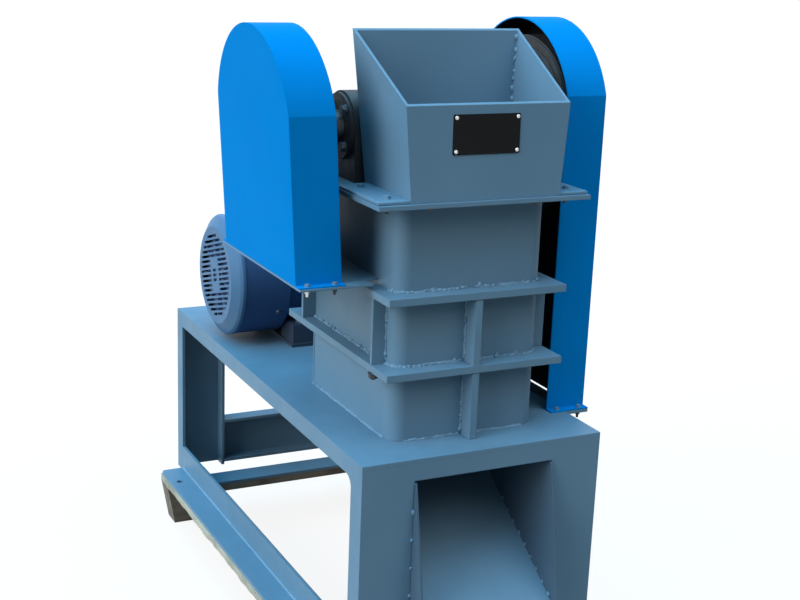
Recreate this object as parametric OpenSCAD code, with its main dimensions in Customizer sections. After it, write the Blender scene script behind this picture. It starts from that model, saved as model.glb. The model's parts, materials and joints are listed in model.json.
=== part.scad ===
// Laboratory jaw crusher on a folded plate stand, with its motor, belt drive and guards.
// Drawn from the middle of the stand's front edge: X to the right, Y to the back, Z up from the
// stand's top. The finished part then stands on the floor, with its origin under its middle.

/* [Stand] */
// Width of the stand, side to side
stand_w = 360; // [330:5:420]
// Length of the stand, front to back
stand_l = 784; // [740:4:900]
// Height of the stand, from the underside of its rails to its top
stand_h = 294; // [280:2:360]
// Thickness of the stand's folded plate
plate_t = 6; // [4:0.5:8]
// Depth of the lip turned down along the sides and the back
lip_h = 26; // [18:1:32]
// Depth of the side returns bent back from the front panel
return_d = 28; // [18:1:50]
// Radius where a return runs into the side lip
return_fillet = 16; // [6:1:30]

/* [Discharge chute] */
// Width of the opening in the front panel
opening_w = 210; // [180:2:240]
// Drop from the stand's top to the opening
opening_top = 30; // [26:1:44]
// Height of the panel's sill below the opening
sill_h = 42; // [30:1:80]
// Thickness of the chute's sheet
chute_t = 3; // [2:0.5:5]
// Height of the chute floor above the sill where it passes the panel
chute_lift = 41; // [20:1:60]
// Rise of the chute floor for each millimetre towards the back
chute_slope = 0.65; // [0.45:0.01:0.7]
// Reach of the chute floor in front of the panel
chute_reach = 40; // [20:1:60]
// Room between the back end of the chute floor and the stand's top plate
chute_clear = 19; // [10:1:40]

/* [Legs and rails] */
// Width of a rear leg's channel
leg_w = 78; // [60:1:100]
// Depth of a rear leg's flanges
leg_d = 28; // [20:1:40]
// Thickness of the rolled sections
section_t = 5; // [4:0.5:7]
// Height of the cross beam between the rear legs
beam_h = 80; // [60:1:120]
// Leg length of the rails' angle section
rail_leg = 45; // [32:1:60]
// Corner radius at the ends of a rail's foot
rail_corner_r = 9; // [4:1:16]
// Diameter of the anchor holes
anchor_d = 11; // [8:0.5:14]
// Distance of the anchor holes from a rail's ends
anchor_inset = 60; // [30:1:120]
// Width of the flat bar between the rails
crossbar_w = 44; // [30:1:80]
// Distance of the flat bar from the rails' back ends
crossbar_inset = 45; // [20:1:80]

/* [Timber skid] */
// Thickness of the boards under the rails
board_t = 12; // [8:1:20]
// Width of the boards under the rails
board_w = 80; // [70:1:84]
// Height of the blocks under the boards' ends
block_h = 70; // [40:1:100]
// Depth of the blocks along the boards
block_d = 38; // [25:1:50]
// Width of the blocks where they meet the boards
block_w = 58; // [40:1:78]
// Distance that a block's outer side slopes in towards the floor
block_taper = 13; // [0:1:20]

/* [Crusher body] */
// Outer width of the body
body_w = 222; // [212:1:226]
// Distance from the stand's front to the body's front wall
body_front = 64; // [58:1:70]
// Depth of the body, front to back
body_d = 284; // [276:1:300]
// Thickness of the body's plate
wall_t = 10; // [8:0.5:12]
// Outer radius of the body's corners
corner_r = 20; // [14:1:28]
// Thickness of the two stiffening rings
ring_t = 10; // [8:0.5:12]
// Reach of the rings beside the body
ring_side = 21; // [14:1:26]
// Reach of the rings in front of the body
ring_reach = 27; // [20:1:32]
// Height of the lower ring's top
lower_ring_z = 104; // [90:1:116]
// Height of the upper ring's top
upper_ring_z = 205; // [190:1:215]
// Height of the top flange's upper face
flange_z = 328; // [318:1:340]
// Thickness of the top flange
flange_t = 6; // [5:0.5:10]
// Reach of the top flange beside the body
flange_side = 44; // [39:1:44]
// Thickness of the front ribs
front_rib_t = 10; // [6:0.5:14]
// Thickness of the side ribs
side_rib_t = 6; // [4:0.5:10]
// Distance of the front side ribs behind the body's front wall
side_rib_y = 23; // [22:1:40]

/* [Hopper] */
// Step from the body's side in to the hopper's foot
hopper_step = 2; // [0:0.5:8]
// Outer depth of the hopper at its foot
hopper_d = 138; // [124:1:142]
// Height of the hopper's front wall
hopper_front_h = 122; // [100:1:140]
// Height of the hopper's back wall
hopper_back_h = 204; // [180:1:220]
// Flare of each side wall for each millimetre of height
hopper_flare = 0.08; // [0.02:0.01:0.12]
// Thickness of the hopper's sheet
hopper_t = 4; // [3:0.5:6]
// Width of the hopper's side flanges
hopper_foot_w = 36; // [24:1:40]

/* [Drive] */
// Distance of the shaft behind the stand's front
shaft_y = 236; // [232:1:242]
// Height of the shaft above the stand's top
shaft_z = 398; // [392:1:404]
// Radius of the shaft in its bearings
shaft_r = 22; // [18:0.5:25]
// Throw of the shaft's eccentric middle
throw = 5; // [2:0.5:6]
// Outer radius of the flywheel and of the drive pulley
wheel_r = 122; // [112:1:124]
// Width of the flywheel
flywheel_w = 40; // [34:1:47]
// Outer radius of the motor pulley
motor_pulley_r = 44; // [38:1:50]
// Top width of a belt
belt_w = 13; // [10:0.5:14]
// Height of a belt
belt_h = 8; // [6:0.5:9]
// Distance between the two belts
belt_pitch = 17; // [16:0.5:19]
// Radius of the bearing housings
bearing_r = 48; // [40:1:49]
// Width of the bearing housings
bearing_w = 46; // [38:1:50]

/* [Jaws] */
// Thickness of the cheek plates beside the jaws
cheek_t = 18; // [12:1:22]
// Number of teeth across a jaw plate
teeth = 10; // [6:1:12]
// Height of the teeth
tooth_h = 8; // [5:0.5:9]
// Thickness of a jaw plate behind its teeth
jaw_plate_t = 14; // [10:0.5:16]
// Gap between the jaws at the bottom
set_gap = 10; // [6:0.5:14]
// Lean of the swing jaw in degrees
jaw_lean = 13; // [11:0.5:14]

/* [Motor] */
// Distance of the motor's axis behind the stand's front
motor_y = 598; // [590:1:620]
// Height of the motor's axis above its base plate
motor_h = 100; // [100:1:110]
// Radius of the motor's fan cowl
cowl_r = 98; // [84:1:99]
// Radius of the cowl's flat face
cowl_face_r = 79; // [70:1:82]
// Distance from the stand's middle to the cowl's face
cowl_x = 174; // [166:1:190]
// Length of the fan cowl
cowl_l = 19; // [16:1:40]
// Depth of the fan chamber behind the cowl
fan_room = 44; // [30:1:60]
// Radius of the motor's barrel
barrel_r = 86; // [80:1:90]
// Length of the fan drum behind the cowl
drum_l = 75; // [64:1:80]
// Number of slot rows in the cowl
slot_rows = 17; // [9:2:21]
// Turn of the slots about the motor's axis in degrees
slot_turn = 16; // [0:1:30]

/* [Guards] */
// Thickness of the guards' sheet
guard_t = 2; // [1.5:0.25:3]
// Room between a wheel and the front and back of its guard
guard_room = 12; // [11:1:18]
// Distance from the body's side to the flywheel guard's outer face
left_guard_reach = 123; // [123:1:125]
// Width of the flywheel guard
left_guard_w = 64; // [58:1:68]
// Room over the flywheel under its guard's top
left_guard_crown = 15; // [14:1:30]
// Height of the flywheel guard's arch
left_arch_h = 104; // [95:1:107]
// Distance that the flywheel guard's top leans out
guard_lean = 20; // [0:1:22]
// Distance from the body's side to the belt guard's outer face
right_guard_reach = 107; // [107:1:111]
// Width of the belt guard
right_guard_w = 62; // [58:1:62]
// Room over the drive pulley under its guard's top
right_guard_crown = 25; // [20:1:36]
// Height of the belt guard's arch
right_arch_h = 96; // [90:1:105]
// Depth of the guards' bolting flanges
guard_flange_d = 13; // [10:1:16]
// Thickness of the flywheel guard's bracket
bracket_t = 3; // [2.5:0.5:6]
// Height of the bracket's top above the upper ring
bracket_rise = 9; // [6:1:12]

/* [Hidden] */
$fn = 64;

steel_grey_blue = [0.34, 0.45, 0.54];
sheet_blue = [0.01, 0.45, 0.80];
cast_grey = [0.26, 0.28, 0.30];
motor_navy = [0.12, 0.20, 0.33];
cowl_grey_blue = [0.38, 0.50, 0.62];
bright_steel = [0.62, 0.63, 0.65];
timber = [0.70, 0.62, 0.48];
rubber_black = [0.05, 0.05, 0.05];

// Small gap between welded sheets, and the running clearance of the shaft in its bearings
seat_gap = 0.3;
running_fit = 0.05;
// Room left around parts that turn
turn_gap = 6;
// Through cuts reach this far past a face
past = 1;

half_w = stand_w / 2;
rail_back = stand_l - leg_d - seat_gap;
rail_front = plate_t + return_d + seat_gap;
rail_out = half_w + rail_leg - section_t;
anchor_x = half_w + (rail_leg - section_t) * 0.6;
anchor_rows = [rail_front + anchor_inset, rail_back - anchor_inset];
board_in = rail_out - board_w;
floor_z = -stand_h - board_t - block_h;
opening_low = -stand_h + sill_h;
opening_h = -opening_top - opening_low;
chute_drop = -opening_low - chute_lift;
chute_back = (chute_drop - plate_t - chute_clear) / chute_slope;
cheek_reach = chute_reach + 5;
mid_y = (stand_l - cheek_reach) / 2;
crossbar_y = rail_back - crossbar_inset - crossbar_w;

body_back = body_front + body_d;
inner_w = body_w - 2 * wall_t;
jaw_front = body_front + wall_t;
jaw_side = 3;
jaw_w = inner_w - 2 * (cheek_t + jaw_side);
seam_y = body_back - corner_r;
ring_w = body_w + 2 * ring_side;
ring_front = body_front - ring_reach;
ring_back = body_back + 30;
flange_w = body_w + 2 * flange_side;
flange_front = ring_front - 8;
flange_back = body_back + 24;
hopper_w = body_w - 2 * hopper_step;
guard_half_d = wheel_r + guard_room;
left_guard_x = body_w / 2 + left_guard_reach;
left_guard_top = shaft_z + wheel_r + left_guard_crown;
left_guard_spring = left_guard_top - left_arch_h;
right_guard_x = body_w / 2 + right_guard_reach;
right_guard_top = shaft_z + wheel_r + right_guard_crown;
right_guard_spring = right_guard_top - right_arch_h;
bracket_top = upper_ring_z + bracket_rise;
guard_slope = guard_lean / (left_guard_top - bracket_top);
mid_x = (max(rail_out, right_guard_x) - max(rail_out, left_guard_x + guard_lean)) / 2;
bracket_front = shaft_y - guard_half_d - guard_flange_d - 2;
upper_arm_back = bracket_front + 30;
hopper_front = flange_front + 5;

jaw_tip = jaw_front + jaw_plate_t + tooth_h;
jaw_foot_z = 14;
jaw_top_z = flange_z - flange_t - 6;
neck_z = jaw_top_z - 30;
neck_t = 36;
swing_thick = (jaw_plate_t + tooth_h) / cos(jaw_lean);
swing_foot_y = jaw_tip + set_gap + swing_thick;
eccentric_r = shaft_r + throw + 3;
head_bore = eccentric_r + throw + 1.5;
head_r = head_bore + 12;
bearing_out = body_w / 2 + 7;
head_w = 2 * (bearing_out - bearing_w) - turn_gap;
swing_foot_t = 26;
swing_waist_t = 40;
swing_waist_z = 90;
toggle_low = 62;
toggle_t = 12;
seat_block = 20;
screw_x = jaw_w / 4;
screw_z = toggle_low + 12;
screw_r = 8;

cap_t = 5;
flywheel_x = left_guard_x + guard_slope * (shaft_z - wheel_r - bracket_top) - guard_t - turn_gap
  - flywheel_w / 2;
pulley_w = 2 * belt_pitch + 8;
pulley_x = right_guard_x - guard_t - turn_gap - pulley_w / 2;
groove_d = belt_h + 3;
belt_side = 0.5;
belt_half_angle = 17;

motor_z = motor_h + section_t;
motor_shaft_r = 14;
motor_shaft_out = 32;
motor_end = pulley_x - pulley_w / 2 - motor_shaft_out;
cowl_shell = 3;
drum_r = cowl_r - 1;
drum_end = -cowl_x + cowl_l + drum_l;
cowl_rim_x = 0.74 * cowl_l;
cowl_lap = cowl_l - cowl_rim_x - cowl_shell / 2 - seat_gap;
foot_half_gap = 66;
foot_w = 40;
foot_d = 52;
foot_inset = 3;
foot_share = 0.8;
base_rim = 10;
base_rear_gap = 4;
base_front_gap = 54;
tail_room = 26;
tail_back = motor_y + motor_pulley_r + tail_room;
drive_dy = motor_y - shaft_y;
drive_dz = motor_z - shaft_z;
drive_len = sqrt(drive_dy * drive_dy + drive_dz * drive_dz);
drive_dir = atan2(drive_dz, drive_dy);
wrap = asin((wheel_r - motor_pulley_r) / drive_len);

// Moves a piece from the stand's front edge to the part's origin on the floor
module stood() {
  translate([-mid_x, -mid_y, -floor_z]) children();
}

// Extrudes a profile drawn in (Y, Z) along X
module along_x(x0, length) {
  translate([x0, 0, 0]) rotate([90, 0, 90]) linear_extrude(length) children();
}

// Extrudes a profile drawn in (X, Z) along Y
module along_y(y0, length) {
  translate([0, y0 + length, 0]) rotate([90, 0, 0]) linear_extrude(length) children();
}

// Box between two corners
module box(low, high) {
  translate(low) cube(high - low);
}

// Cylinder along X around a point in (Y, Z)
module bar_x(x0, x1, y, z, r) {
  translate([x0, y, z]) rotate([0, 90, 0]) cylinder(h = x1 - x0, r = r);
}

// Body of revolution around X from a profile drawn as (radius, distance along X)
module turned_x(x, y, z) {
  translate([x, y, z]) rotate([0, 90, 0]) rotate_extrude($fn = 96) children();
}

// Mirrors a left piece to the right side
module right_hand() {
  translate([-2 * mid_x, 0, 0]) mirror([1, 0, 0]) children();
}

// Cylinder along Y around a point in (X, Z)
module bar_y(x, y0, y1, z, r, sides = 64) {
  translate([x, y1, z]) rotate([90, 0, 0]) cylinder(h = y1 - y0, r = r, $fn = sides);
}

// Plan of the body with rounded corners, smaller by inset
module body_plan(inset) {
  w = body_w / 2 - inset;
  y0 = body_front + inset;
  y1 = body_back - inset;
  r = corner_r - inset;
  translate([-w, y0 + r]) square([2 * w, y1 - y0 - 2 * r]);
  translate([-w + r, y0]) square([2 * w - 2 * r, y1 - y0]);
  for (x = [-w + r, w - r]) for (y = [y0 + r, y1 - r]) translate([x, y]) circle(r);
}

// Plan of the body's plate, without the part from y0 to y1
module body_plate(y0, y1) {
  difference() {
    body_plan(0);
    body_plan(wall_t);
    translate([-body_w, y0]) square([2 * body_w, y1 - y0]);
  }
}

module top_plate() {
  rear = stand_l - plate_t;
  stood() color(steel_grey_blue) difference() {
    union() {
      box([-half_w, 0, -plate_t], [half_w, stand_l, 0]);
      for (x = [-half_w, half_w - plate_t])
        box([x, plate_t, -lip_h], [x + plate_t, stand_l, -plate_t]);
      box([-half_w, rear, -lip_h], [half_w, stand_l, -plate_t]);
    }
    box([-inner_w / 2, jaw_front, -plate_t - past], [inner_w / 2, body_back - wall_t, past]);
  }
}

module front_panel() {
  stood() color(steel_grey_blue) {
    along_y(0, plate_t) difference() {
      translate([-half_w, -stand_h]) square([stand_w, stand_h - plate_t]);
      translate([-opening_w / 2, opening_low]) square([opening_w, opening_h]);
    }
    for (x = [-half_w, half_w - plate_t]) along_x(x, plate_t) {
      translate([plate_t, -stand_h]) square([return_d, stand_h - lip_h]);
      difference() {
        translate([plate_t + return_d, -lip_h - return_fillet]) square(return_fillet);
        translate([plate_t + return_d + return_fillet, -lip_h - return_fillet]) circle(return_fillet);
      }
    }
  }
}

module left_rear_leg() {
  stood() color(steel_grey_blue) translate([-half_w, stand_l - leg_d, -stand_h])
    linear_extrude(stand_h - lip_h) difference() {
      square([leg_w, leg_d]);
      translate([section_t, -past]) square([leg_w - 2 * section_t, leg_d - section_t + past]);
    }
}

module right_rear_leg() {
  right_hand() left_rear_leg();
}

module rear_cross_beam() {
  low = -stand_h + section_t;
  reach = half_w - leg_w;
  stood() color(steel_grey_blue) along_x(-reach, 2 * reach) difference() {
    translate([stand_l - leg_d, low]) square([leg_d, beam_h]);
    translate([stand_l - leg_d - past, low + section_t])
      square([leg_d - section_t + past, beam_h - 2 * section_t]);
  }
}

// Height of the chute floor's upper face at a distance behind the panel
function floor_at(y) = -chute_drop + chute_slope * y;

module chute_left_side() {
  skirt = 9;
  edge_top = -opening_top - 3;
  shelf = -plate_t - seat_gap;
  stood() color(steel_grey_blue) along_x(-opening_w / 2 + seat_gap, chute_t) polygon([
    [-2, edge_top], [-cheek_reach, floor_at(-cheek_reach) - skirt],
    [chute_back, floor_at(chute_back) - skirt], [chute_back, shelf],
    [plate_t + seat_gap, shelf], [plate_t + seat_gap, edge_top]]);
}

module chute_right_side() {
  right_hand() chute_left_side();
}

module chute_floor() {
  reach = opening_w / 2 - chute_t - 2 * seat_gap;
  drop = chute_t * sqrt(1 + chute_slope * chute_slope);
  stood() color(steel_grey_blue) along_x(-reach, 2 * reach) polygon([
    [-chute_reach, floor_at(-chute_reach)], [chute_back, floor_at(chute_back)],
    [chute_back, floor_at(chute_back) - drop], [-chute_reach, floor_at(-chute_reach) - drop]]);
}

module left_base_rail() {
  r = rail_corner_r;
  foot = rail_leg - section_t;
  stood() color(steel_grey_blue) translate([0, 0, -stand_h]) {
    box([-half_w, rail_front, 0], [-half_w + section_t, rail_back, rail_leg]);
    linear_extrude(section_t) difference() {
      union() {
        translate([-rail_out, rail_front + r]) square([foot, rail_back - rail_front - 2 * r]);
        translate([-rail_out + r, rail_front]) square([foot - r, rail_back - rail_front]);
        for (y = [rail_front + r, rail_back - r]) translate([-rail_out + r, y]) circle(r);
      }
      for (y = anchor_rows) translate([-anchor_x, y]) circle(d = anchor_d);
    }
  }
}

module right_base_rail() {
  right_hand() left_base_rail();
}

module rear_base_crossbar() {
  reach = half_w - section_t;
  stood() color(steel_grey_blue)
    box([-reach, crossbar_y, -stand_h], [reach, crossbar_y + crossbar_w, -stand_h + section_t]);
}

module left_skid_board() {
  stood() color(timber) difference() {
    box([-board_in - board_w, 0, -stand_h - board_t], [-board_in, rail_back, -stand_h]);
    for (y = anchor_rows) translate([-anchor_x, y, -stand_h - board_t - past])
      cylinder(h = board_t + 2 * past, d = anchor_d);
  }
}

module right_skid_board() {
  right_hand() left_skid_board();
}

module rear_skid_board() {
  stood() color(timber) box([-board_in, crossbar_y, -stand_h - board_t],
    [board_in, crossbar_y + crossbar_w, -stand_h]);
}

// Pair of tapered blocks under the boards that starts at y
module block_pair(y) {
  top = floor_z + block_h;
  inner = rail_out - block_w;
  stood() color(timber) for (side = [-1, 1]) along_y(y, block_d) polygon([
    [side * rail_out, top], [side * (rail_out - block_taper), floor_z], [side * inner, floor_z],
    [side * inner, top]]);
}

module rear_skid_bearer() {
  block_pair(rail_back - block_d);
}

module front_skid_bearer() {
  block_pair(0);
}

module body_shell() {
  stood() color(steel_grey_blue) linear_extrude(flange_z - flange_t)
    body_plate(seam_y, body_back + past);
}

module rear_wall() {
  stood() color(steel_grey_blue) difference() {
    linear_extrude(flange_z - flange_t) body_plate(body_front - past, seam_y);
    for (x = [-screw_x, screw_x])
      bar_y(x, body_back - wall_t - past, body_back + past, screw_z, screw_r + past);
  }
}

module lower_ring() {
  stood() color(steel_grey_blue) translate([0, 0, lower_ring_z - ring_t]) linear_extrude(ring_t)
    difference() {
      translate([-ring_w / 2, ring_front]) square([ring_w, ring_back - ring_front]);
      body_plan(0);
    }
}

module upper_ring() {
  stood() color(steel_grey_blue) translate([0, 0, upper_ring_z - ring_t]) linear_extrude(ring_t)
    difference() {
      translate([-ring_w / 2, ring_front]) square([ring_w, ring_back - ring_front]);
      body_plan(0);
      translate([-ring_w / 2 - past, upper_arm_back])
        square([(ring_w - body_w) / 2 + past, ring_back - upper_arm_back + past]);
    }
}

module top_flange() {
  throat_back = hopper_front + hopper_d - hopper_t;
  stood() color(steel_grey_blue) translate([0, 0, flange_z - flange_t]) linear_extrude(flange_t)
    difference() {
      translate([-flange_w / 2, flange_front]) square([flange_w, flange_back - flange_front]);
      translate([-inner_w / 2, jaw_front]) square([inner_w, throat_back - jaw_front]);
      translate([-head_w / 2 - 2, throat_back - past])
        square([head_w + 4, body_back - wall_t - throat_back + past]);
    }
}

module front_ribs() {
  bays = [[0, lower_ring_z - ring_t], [lower_ring_z, upper_ring_z - ring_t]];
  stood() color(steel_grey_blue) for (bay = bays)
    box([-front_rib_t / 2, ring_front + 1, bay[0]], [front_rib_t / 2, body_front, bay[1]]);
}

module side_ribs() {
  out = ring_w / 2 - 1;
  stood() color(steel_grey_blue) for (y = [body_front + side_rib_y, body_back - 22]) {
    box([-out, y, lower_ring_z],
      [-body_w / 2, y + side_rib_t, y < upper_arm_back ? upper_ring_z - ring_t : bracket_top - bracket_t]);
    box([body_w / 2, y, lower_ring_z], [out, y + side_rib_t, upper_ring_z - ring_t]);
  }
}

module left_guard_bracket() {
  arm = ring_w / 2 + seat_gap;
  back = shaft_y + guard_half_d + guard_flange_d + 2;
  stood() color(steel_grey_blue) translate([0, 0, bracket_top - bracket_t]) linear_extrude(bracket_t)
    polygon([[-left_guard_x, bracket_front], [-arm, bracket_front],
      [-arm, upper_arm_back + seat_gap], [-body_w / 2, upper_arm_back + seat_gap],
      [-body_w / 2, back], [-left_guard_x, back]]);
}

module right_guard_bracket() {
  front = shaft_y - guard_half_d - guard_flange_d;
  stood() color(steel_grey_blue)
    box([half_w, front, -section_t], [right_guard_x, front + 40, 0]);
}

// Corner points of the hopper's box, inset by t, with its mouth cut on a slope and its foot at z0
function hopper_points(t, z0, lift) = [for (top = [0, 1]) for (corner = [0 : 3])
  let (back = corner == 2 || corner == 3 ? 1 : 0,
       side = corner == 0 || corner == 3 ? -1 : 1,
       rise = top == 0 ? z0 : (back == 1 ? hopper_back_h : hopper_front_h) + lift,
       x = hopper_w / 2 + hopper_flare * rise - t,
       lean = back == 1 ? hopper_d - t + 0.09 * rise : t + 0.03 * rise)
  [side * x, hopper_front + lean, flange_z + rise]];

// Closed box from eight corner points, the lower four first
module eight_corner_box(points) {
  polyhedron(points, [[0, 1, 2, 3], [7, 6, 5, 4], [1, 0, 4, 5], [2, 1, 5, 6], [3, 2, 6, 7], [0, 3, 7, 4]]);
}

module hopper() {
  foot_t = 4;
  stood() color(steel_grey_blue) {
    difference() {
      eight_corner_box(hopper_points(0, 0, 0));
      eight_corner_box(hopper_points(hopper_t, -past, hopper_t));
    }
    for (side = [-1, 1]) translate([side * (hopper_w / 2 + hopper_foot_w / 2 - 1), 0, flange_z])
      box([-hopper_foot_w / 2, hopper_front + 4, 0], [hopper_foot_w / 2, hopper_front + hopper_d - 10, foot_t]);
  }
}

module left_bearing_housing() {
  x0 = -bearing_out;
  foot_h = 16;
  foot_reach = bearing_r + 22;
  stood() color(cast_grey) difference() {
    union() {
      bar_x(x0, x0 + bearing_w, shaft_y, shaft_z, bearing_r);
      bar_x(x0 - cap_t, x0, shaft_y, shaft_z, bearing_r - 3);
      box([x0, shaft_y - bearing_r, flange_z], [x0 + bearing_w, shaft_y + bearing_r, shaft_z]);
      box([x0, shaft_y - bearing_r + 1, flange_z],
        [x0 + bearing_w, shaft_y + foot_reach, flange_z + foot_h]);
    }
    bar_x(x0 - cap_t - past, x0 + bearing_w + past, shaft_y, shaft_z, shaft_r + running_fit);
  }
}

module right_bearing_housing() {
  right_hand() left_bearing_housing();
}

module eccentric_shaft() {
  stood() color(bright_steel) {
    bar_x(-flywheel_x - flywheel_w / 2, pulley_x + pulley_w / 2, shaft_y, shaft_z, shaft_r);
    bar_x(-head_w / 2 + 4, head_w / 2 - 4, shaft_y, shaft_z - throw, eccentric_r);
  }
}

module flywheel() {
  rim = 26;
  web = 7;
  hub_r = shaft_r + 16;
  half = flywheel_w / 2;
  hole_ring = (wheel_r - rim + hub_r) / 2;
  stood() color(cast_grey) difference() {
    turned_x(-flywheel_x, shaft_y, shaft_z) polygon([
      [shaft_r + running_fit, -half], [hub_r, -half], [hub_r, -web], [wheel_r - rim, -web],
      [wheel_r - rim, -half], [wheel_r - 2, -half], [wheel_r, -half + 2], [wheel_r, half - 2],
      [wheel_r - 2, half], [wheel_r - rim, half], [wheel_r - rim, web], [hub_r, web], [hub_r, half],
      [shaft_r + running_fit, half]]);
    for (a = [0 : 60 : 300]) bar_x(-flywheel_x - half, -flywheel_x + half,
      shaft_y + hole_ring * cos(a), shaft_z + hole_ring * sin(a), (wheel_r - rim - hub_r) / 2 - 8);
  }
}

// Profile of a grooved rim of outer radius r and inner radius r_in, as (radius, distance along X)
module grooved_rim(r, r_in) {
  half = pulley_w / 2;
  mouth = belt_w / 2 + belt_side;
  root = mouth - groove_d * tan(belt_half_angle);
  difference() {
    translate([r_in, -half]) square([r - r_in, pulley_w]);
    for (side = [-1, 1]) translate([0, side * belt_pitch / 2])
      polygon([[r + past, -mouth - past * tan(belt_half_angle)], [r - groove_d, -root],
        [r - groove_d, root], [r + past, mouth + past * tan(belt_half_angle)]]);
  }
}

module drive_pulley() {
  rim = groove_d + 12;
  web = 6;
  hub_r = shaft_r + 14;
  half = pulley_w / 2;
  stood() color(cast_grey) turned_x(pulley_x, shaft_y, shaft_z) {
    grooved_rim(wheel_r, wheel_r - rim);
    translate([hub_r - past, -web]) square([wheel_r - rim - hub_r + 2 * past, 2 * web]);
    translate([shaft_r + running_fit, -half]) square([hub_r - shaft_r - running_fit, pulley_w]);
  }
}

module motor_pulley() {
  stood() color(cast_grey) {
    turned_x(pulley_x, motor_y, motor_z) grooved_rim(motor_pulley_r, motor_shaft_r);
    bar_x(motor_end + seat_gap, pulley_x + pulley_w / 2, motor_y, motor_z, motor_shaft_r + seat_gap);
  }
}

// Belt section about its outer face, as (distance inwards from the pulley's edge, distance along X)
module belt_section(r) {
  top = belt_w / 2;
  root = top - belt_h * tan(belt_half_angle);
  polygon([[r, -top], [r, top], [r - belt_h, root], [r - belt_h, -root]]);
}

// Arc of belt around a pulley, from a start angle in the (Y, Z) plane through a sweep
module belt_arc(y, z, r, start, sweep) {
  translate([0, y, z]) rotate([90, 0, 90]) rotate([0, 0, start])
    rotate_extrude(angle = sweep, $fn = 96) belt_section(r);
}

// Straight run of belt from a pulley at (y, z), leaving it at a contact angle
module belt_run(y, z, r, contact, run, back) {
  translate([0, y, z]) rotate([90, 0, 90]) rotate([0, 0, contact])
    rotate([90, 0, 0]) translate([0, 0, back ? -run : 0]) linear_extrude(run) belt_section(r);
}

module drive_belts() {
  run = drive_len * cos(wrap);
  upper = drive_dir + 90 - wrap;
  lower = drive_dir - 90 + wrap;
  lap = 0.3;
  stood() color(rubber_black) for (side = [-1, 1]) translate([pulley_x + side * belt_pitch / 2, 0, 0]) {
    belt_arc(shaft_y, shaft_z, wheel_r, upper - lap, 360 - (upper - lower) + 2 * lap);
    belt_arc(motor_y, motor_z, motor_pulley_r, lower - lap, upper - lower + 2 * lap);
    belt_run(shaft_y, shaft_z, wheel_r, upper, run, false);
    belt_run(shaft_y, shaft_z, wheel_r, lower, run, true);
  }
}

// Plan of a toothed jaw plate: its back on the line y = 0, its teeth towards +Y
module jaw_plan() {
  pitch = jaw_w / teeth;
  tooth = [[-0.45, 0], [-0.16, tooth_h], [0.16, tooth_h], [0.45, 0]];
  edge = [for (i = [0 : teeth - 1]) for (corner = tooth)
    [-jaw_w / 2 + (i + 0.5 + corner[0]) * pitch, jaw_plate_t + corner[1]]];
  polygon(concat([[jaw_w / 2, 0], [-jaw_w / 2, 0], [-jaw_w / 2, jaw_plate_t]], edge,
    [[jaw_w / 2, jaw_plate_t]]));
}

module fixed_jaw_plate() {
  stood() color(cast_grey) translate([0, jaw_front, jaw_foot_z + 6])
    linear_extrude(jaw_top_z - jaw_foot_z - 6) jaw_plan();
}

module swing_jaw_plate() {
  stood() color(cast_grey) translate([0, swing_foot_y, jaw_foot_z]) rotate([-jaw_lean, 0, 0])
    rotate([0, 0, 180]) linear_extrude((neck_z - jaw_foot_z) / cos(jaw_lean)) jaw_plan();
}

// Distance of the swing jaw's seating face behind the stand's front at a height
function swing_face(z) = swing_foot_y + seat_gap + (z - jaw_foot_z) * tan(jaw_lean);

// Distance of the swing jaw's back at a height below its thickest point
function swing_back(z) = swing_face(z) + swing_foot_t
  + (swing_waist_t - swing_foot_t) * (z - jaw_foot_z) / (swing_waist_z - jaw_foot_z);

module swing_jaw() {
  neck_low = neck_z - past;
  rib_t = 12;
  web_t = 16;
  bays = 3;
  bay_w = (jaw_w - (bays + 1) * rib_t) / bays;
  bay_low = toggle_low + toggle_t + 26;
  bay_high = neck_z - 20;
  stood() color(cast_grey) difference() {
    union() {
      along_x(-jaw_w / 2, jaw_w) polygon([
        [swing_face(jaw_foot_z), jaw_foot_z], [swing_back(jaw_foot_z), jaw_foot_z],
        [swing_back(swing_waist_z), swing_waist_z], [swing_face(neck_z) + neck_t, neck_z],
        [swing_face(neck_z), neck_z]]);
      along_x(-head_w / 2, head_w) polygon([
        [swing_face(neck_low), neck_low], [swing_face(neck_low) + neck_t, neck_low],
        [shaft_y + head_r * 0.8, shaft_z], [shaft_y - head_r * 0.8, shaft_z]]);
      bar_x(-head_w / 2, head_w / 2, shaft_y, shaft_z, head_r);
    }
    bar_x(-head_w / 2 - past, head_w / 2 + past, shaft_y, shaft_z, head_bore);
    for (i = [0 : bays - 1]) along_x(-jaw_w / 2 + rib_t + i * (bay_w + rib_t), bay_w) polygon([
      [swing_face(bay_low) + web_t, bay_low], [swing_face(bay_low) + 2 * swing_waist_t, bay_low],
      [swing_face(bay_high) + 2 * swing_waist_t, bay_high], [swing_face(bay_high) + web_t, bay_high]]);
  }
}

module left_cheek_plate() {
  stood() color(cast_grey) along_x(-inner_w / 2, cheek_t) polygon([
    [jaw_tip, jaw_foot_z + 6], [swing_foot_y, jaw_foot_z + 6],
    [swing_face(jaw_top_z), jaw_top_z], [jaw_tip, jaw_top_z]]);
}

module right_cheek_plate() {
  right_hand() left_cheek_plate();
}

module toggle_plate() {
  rise = 14;
  top = toggle_low + toggle_t;
  back = body_back - wall_t - seat_block;
  stood() color(cast_grey) along_x(-jaw_w / 2 + 20, jaw_w - 40) polygon([
    [swing_back(toggle_low) + seat_gap, toggle_low], [back, toggle_low + rise], [back, top + rise],
    [swing_back(top) + seat_gap, top]]);
}

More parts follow.
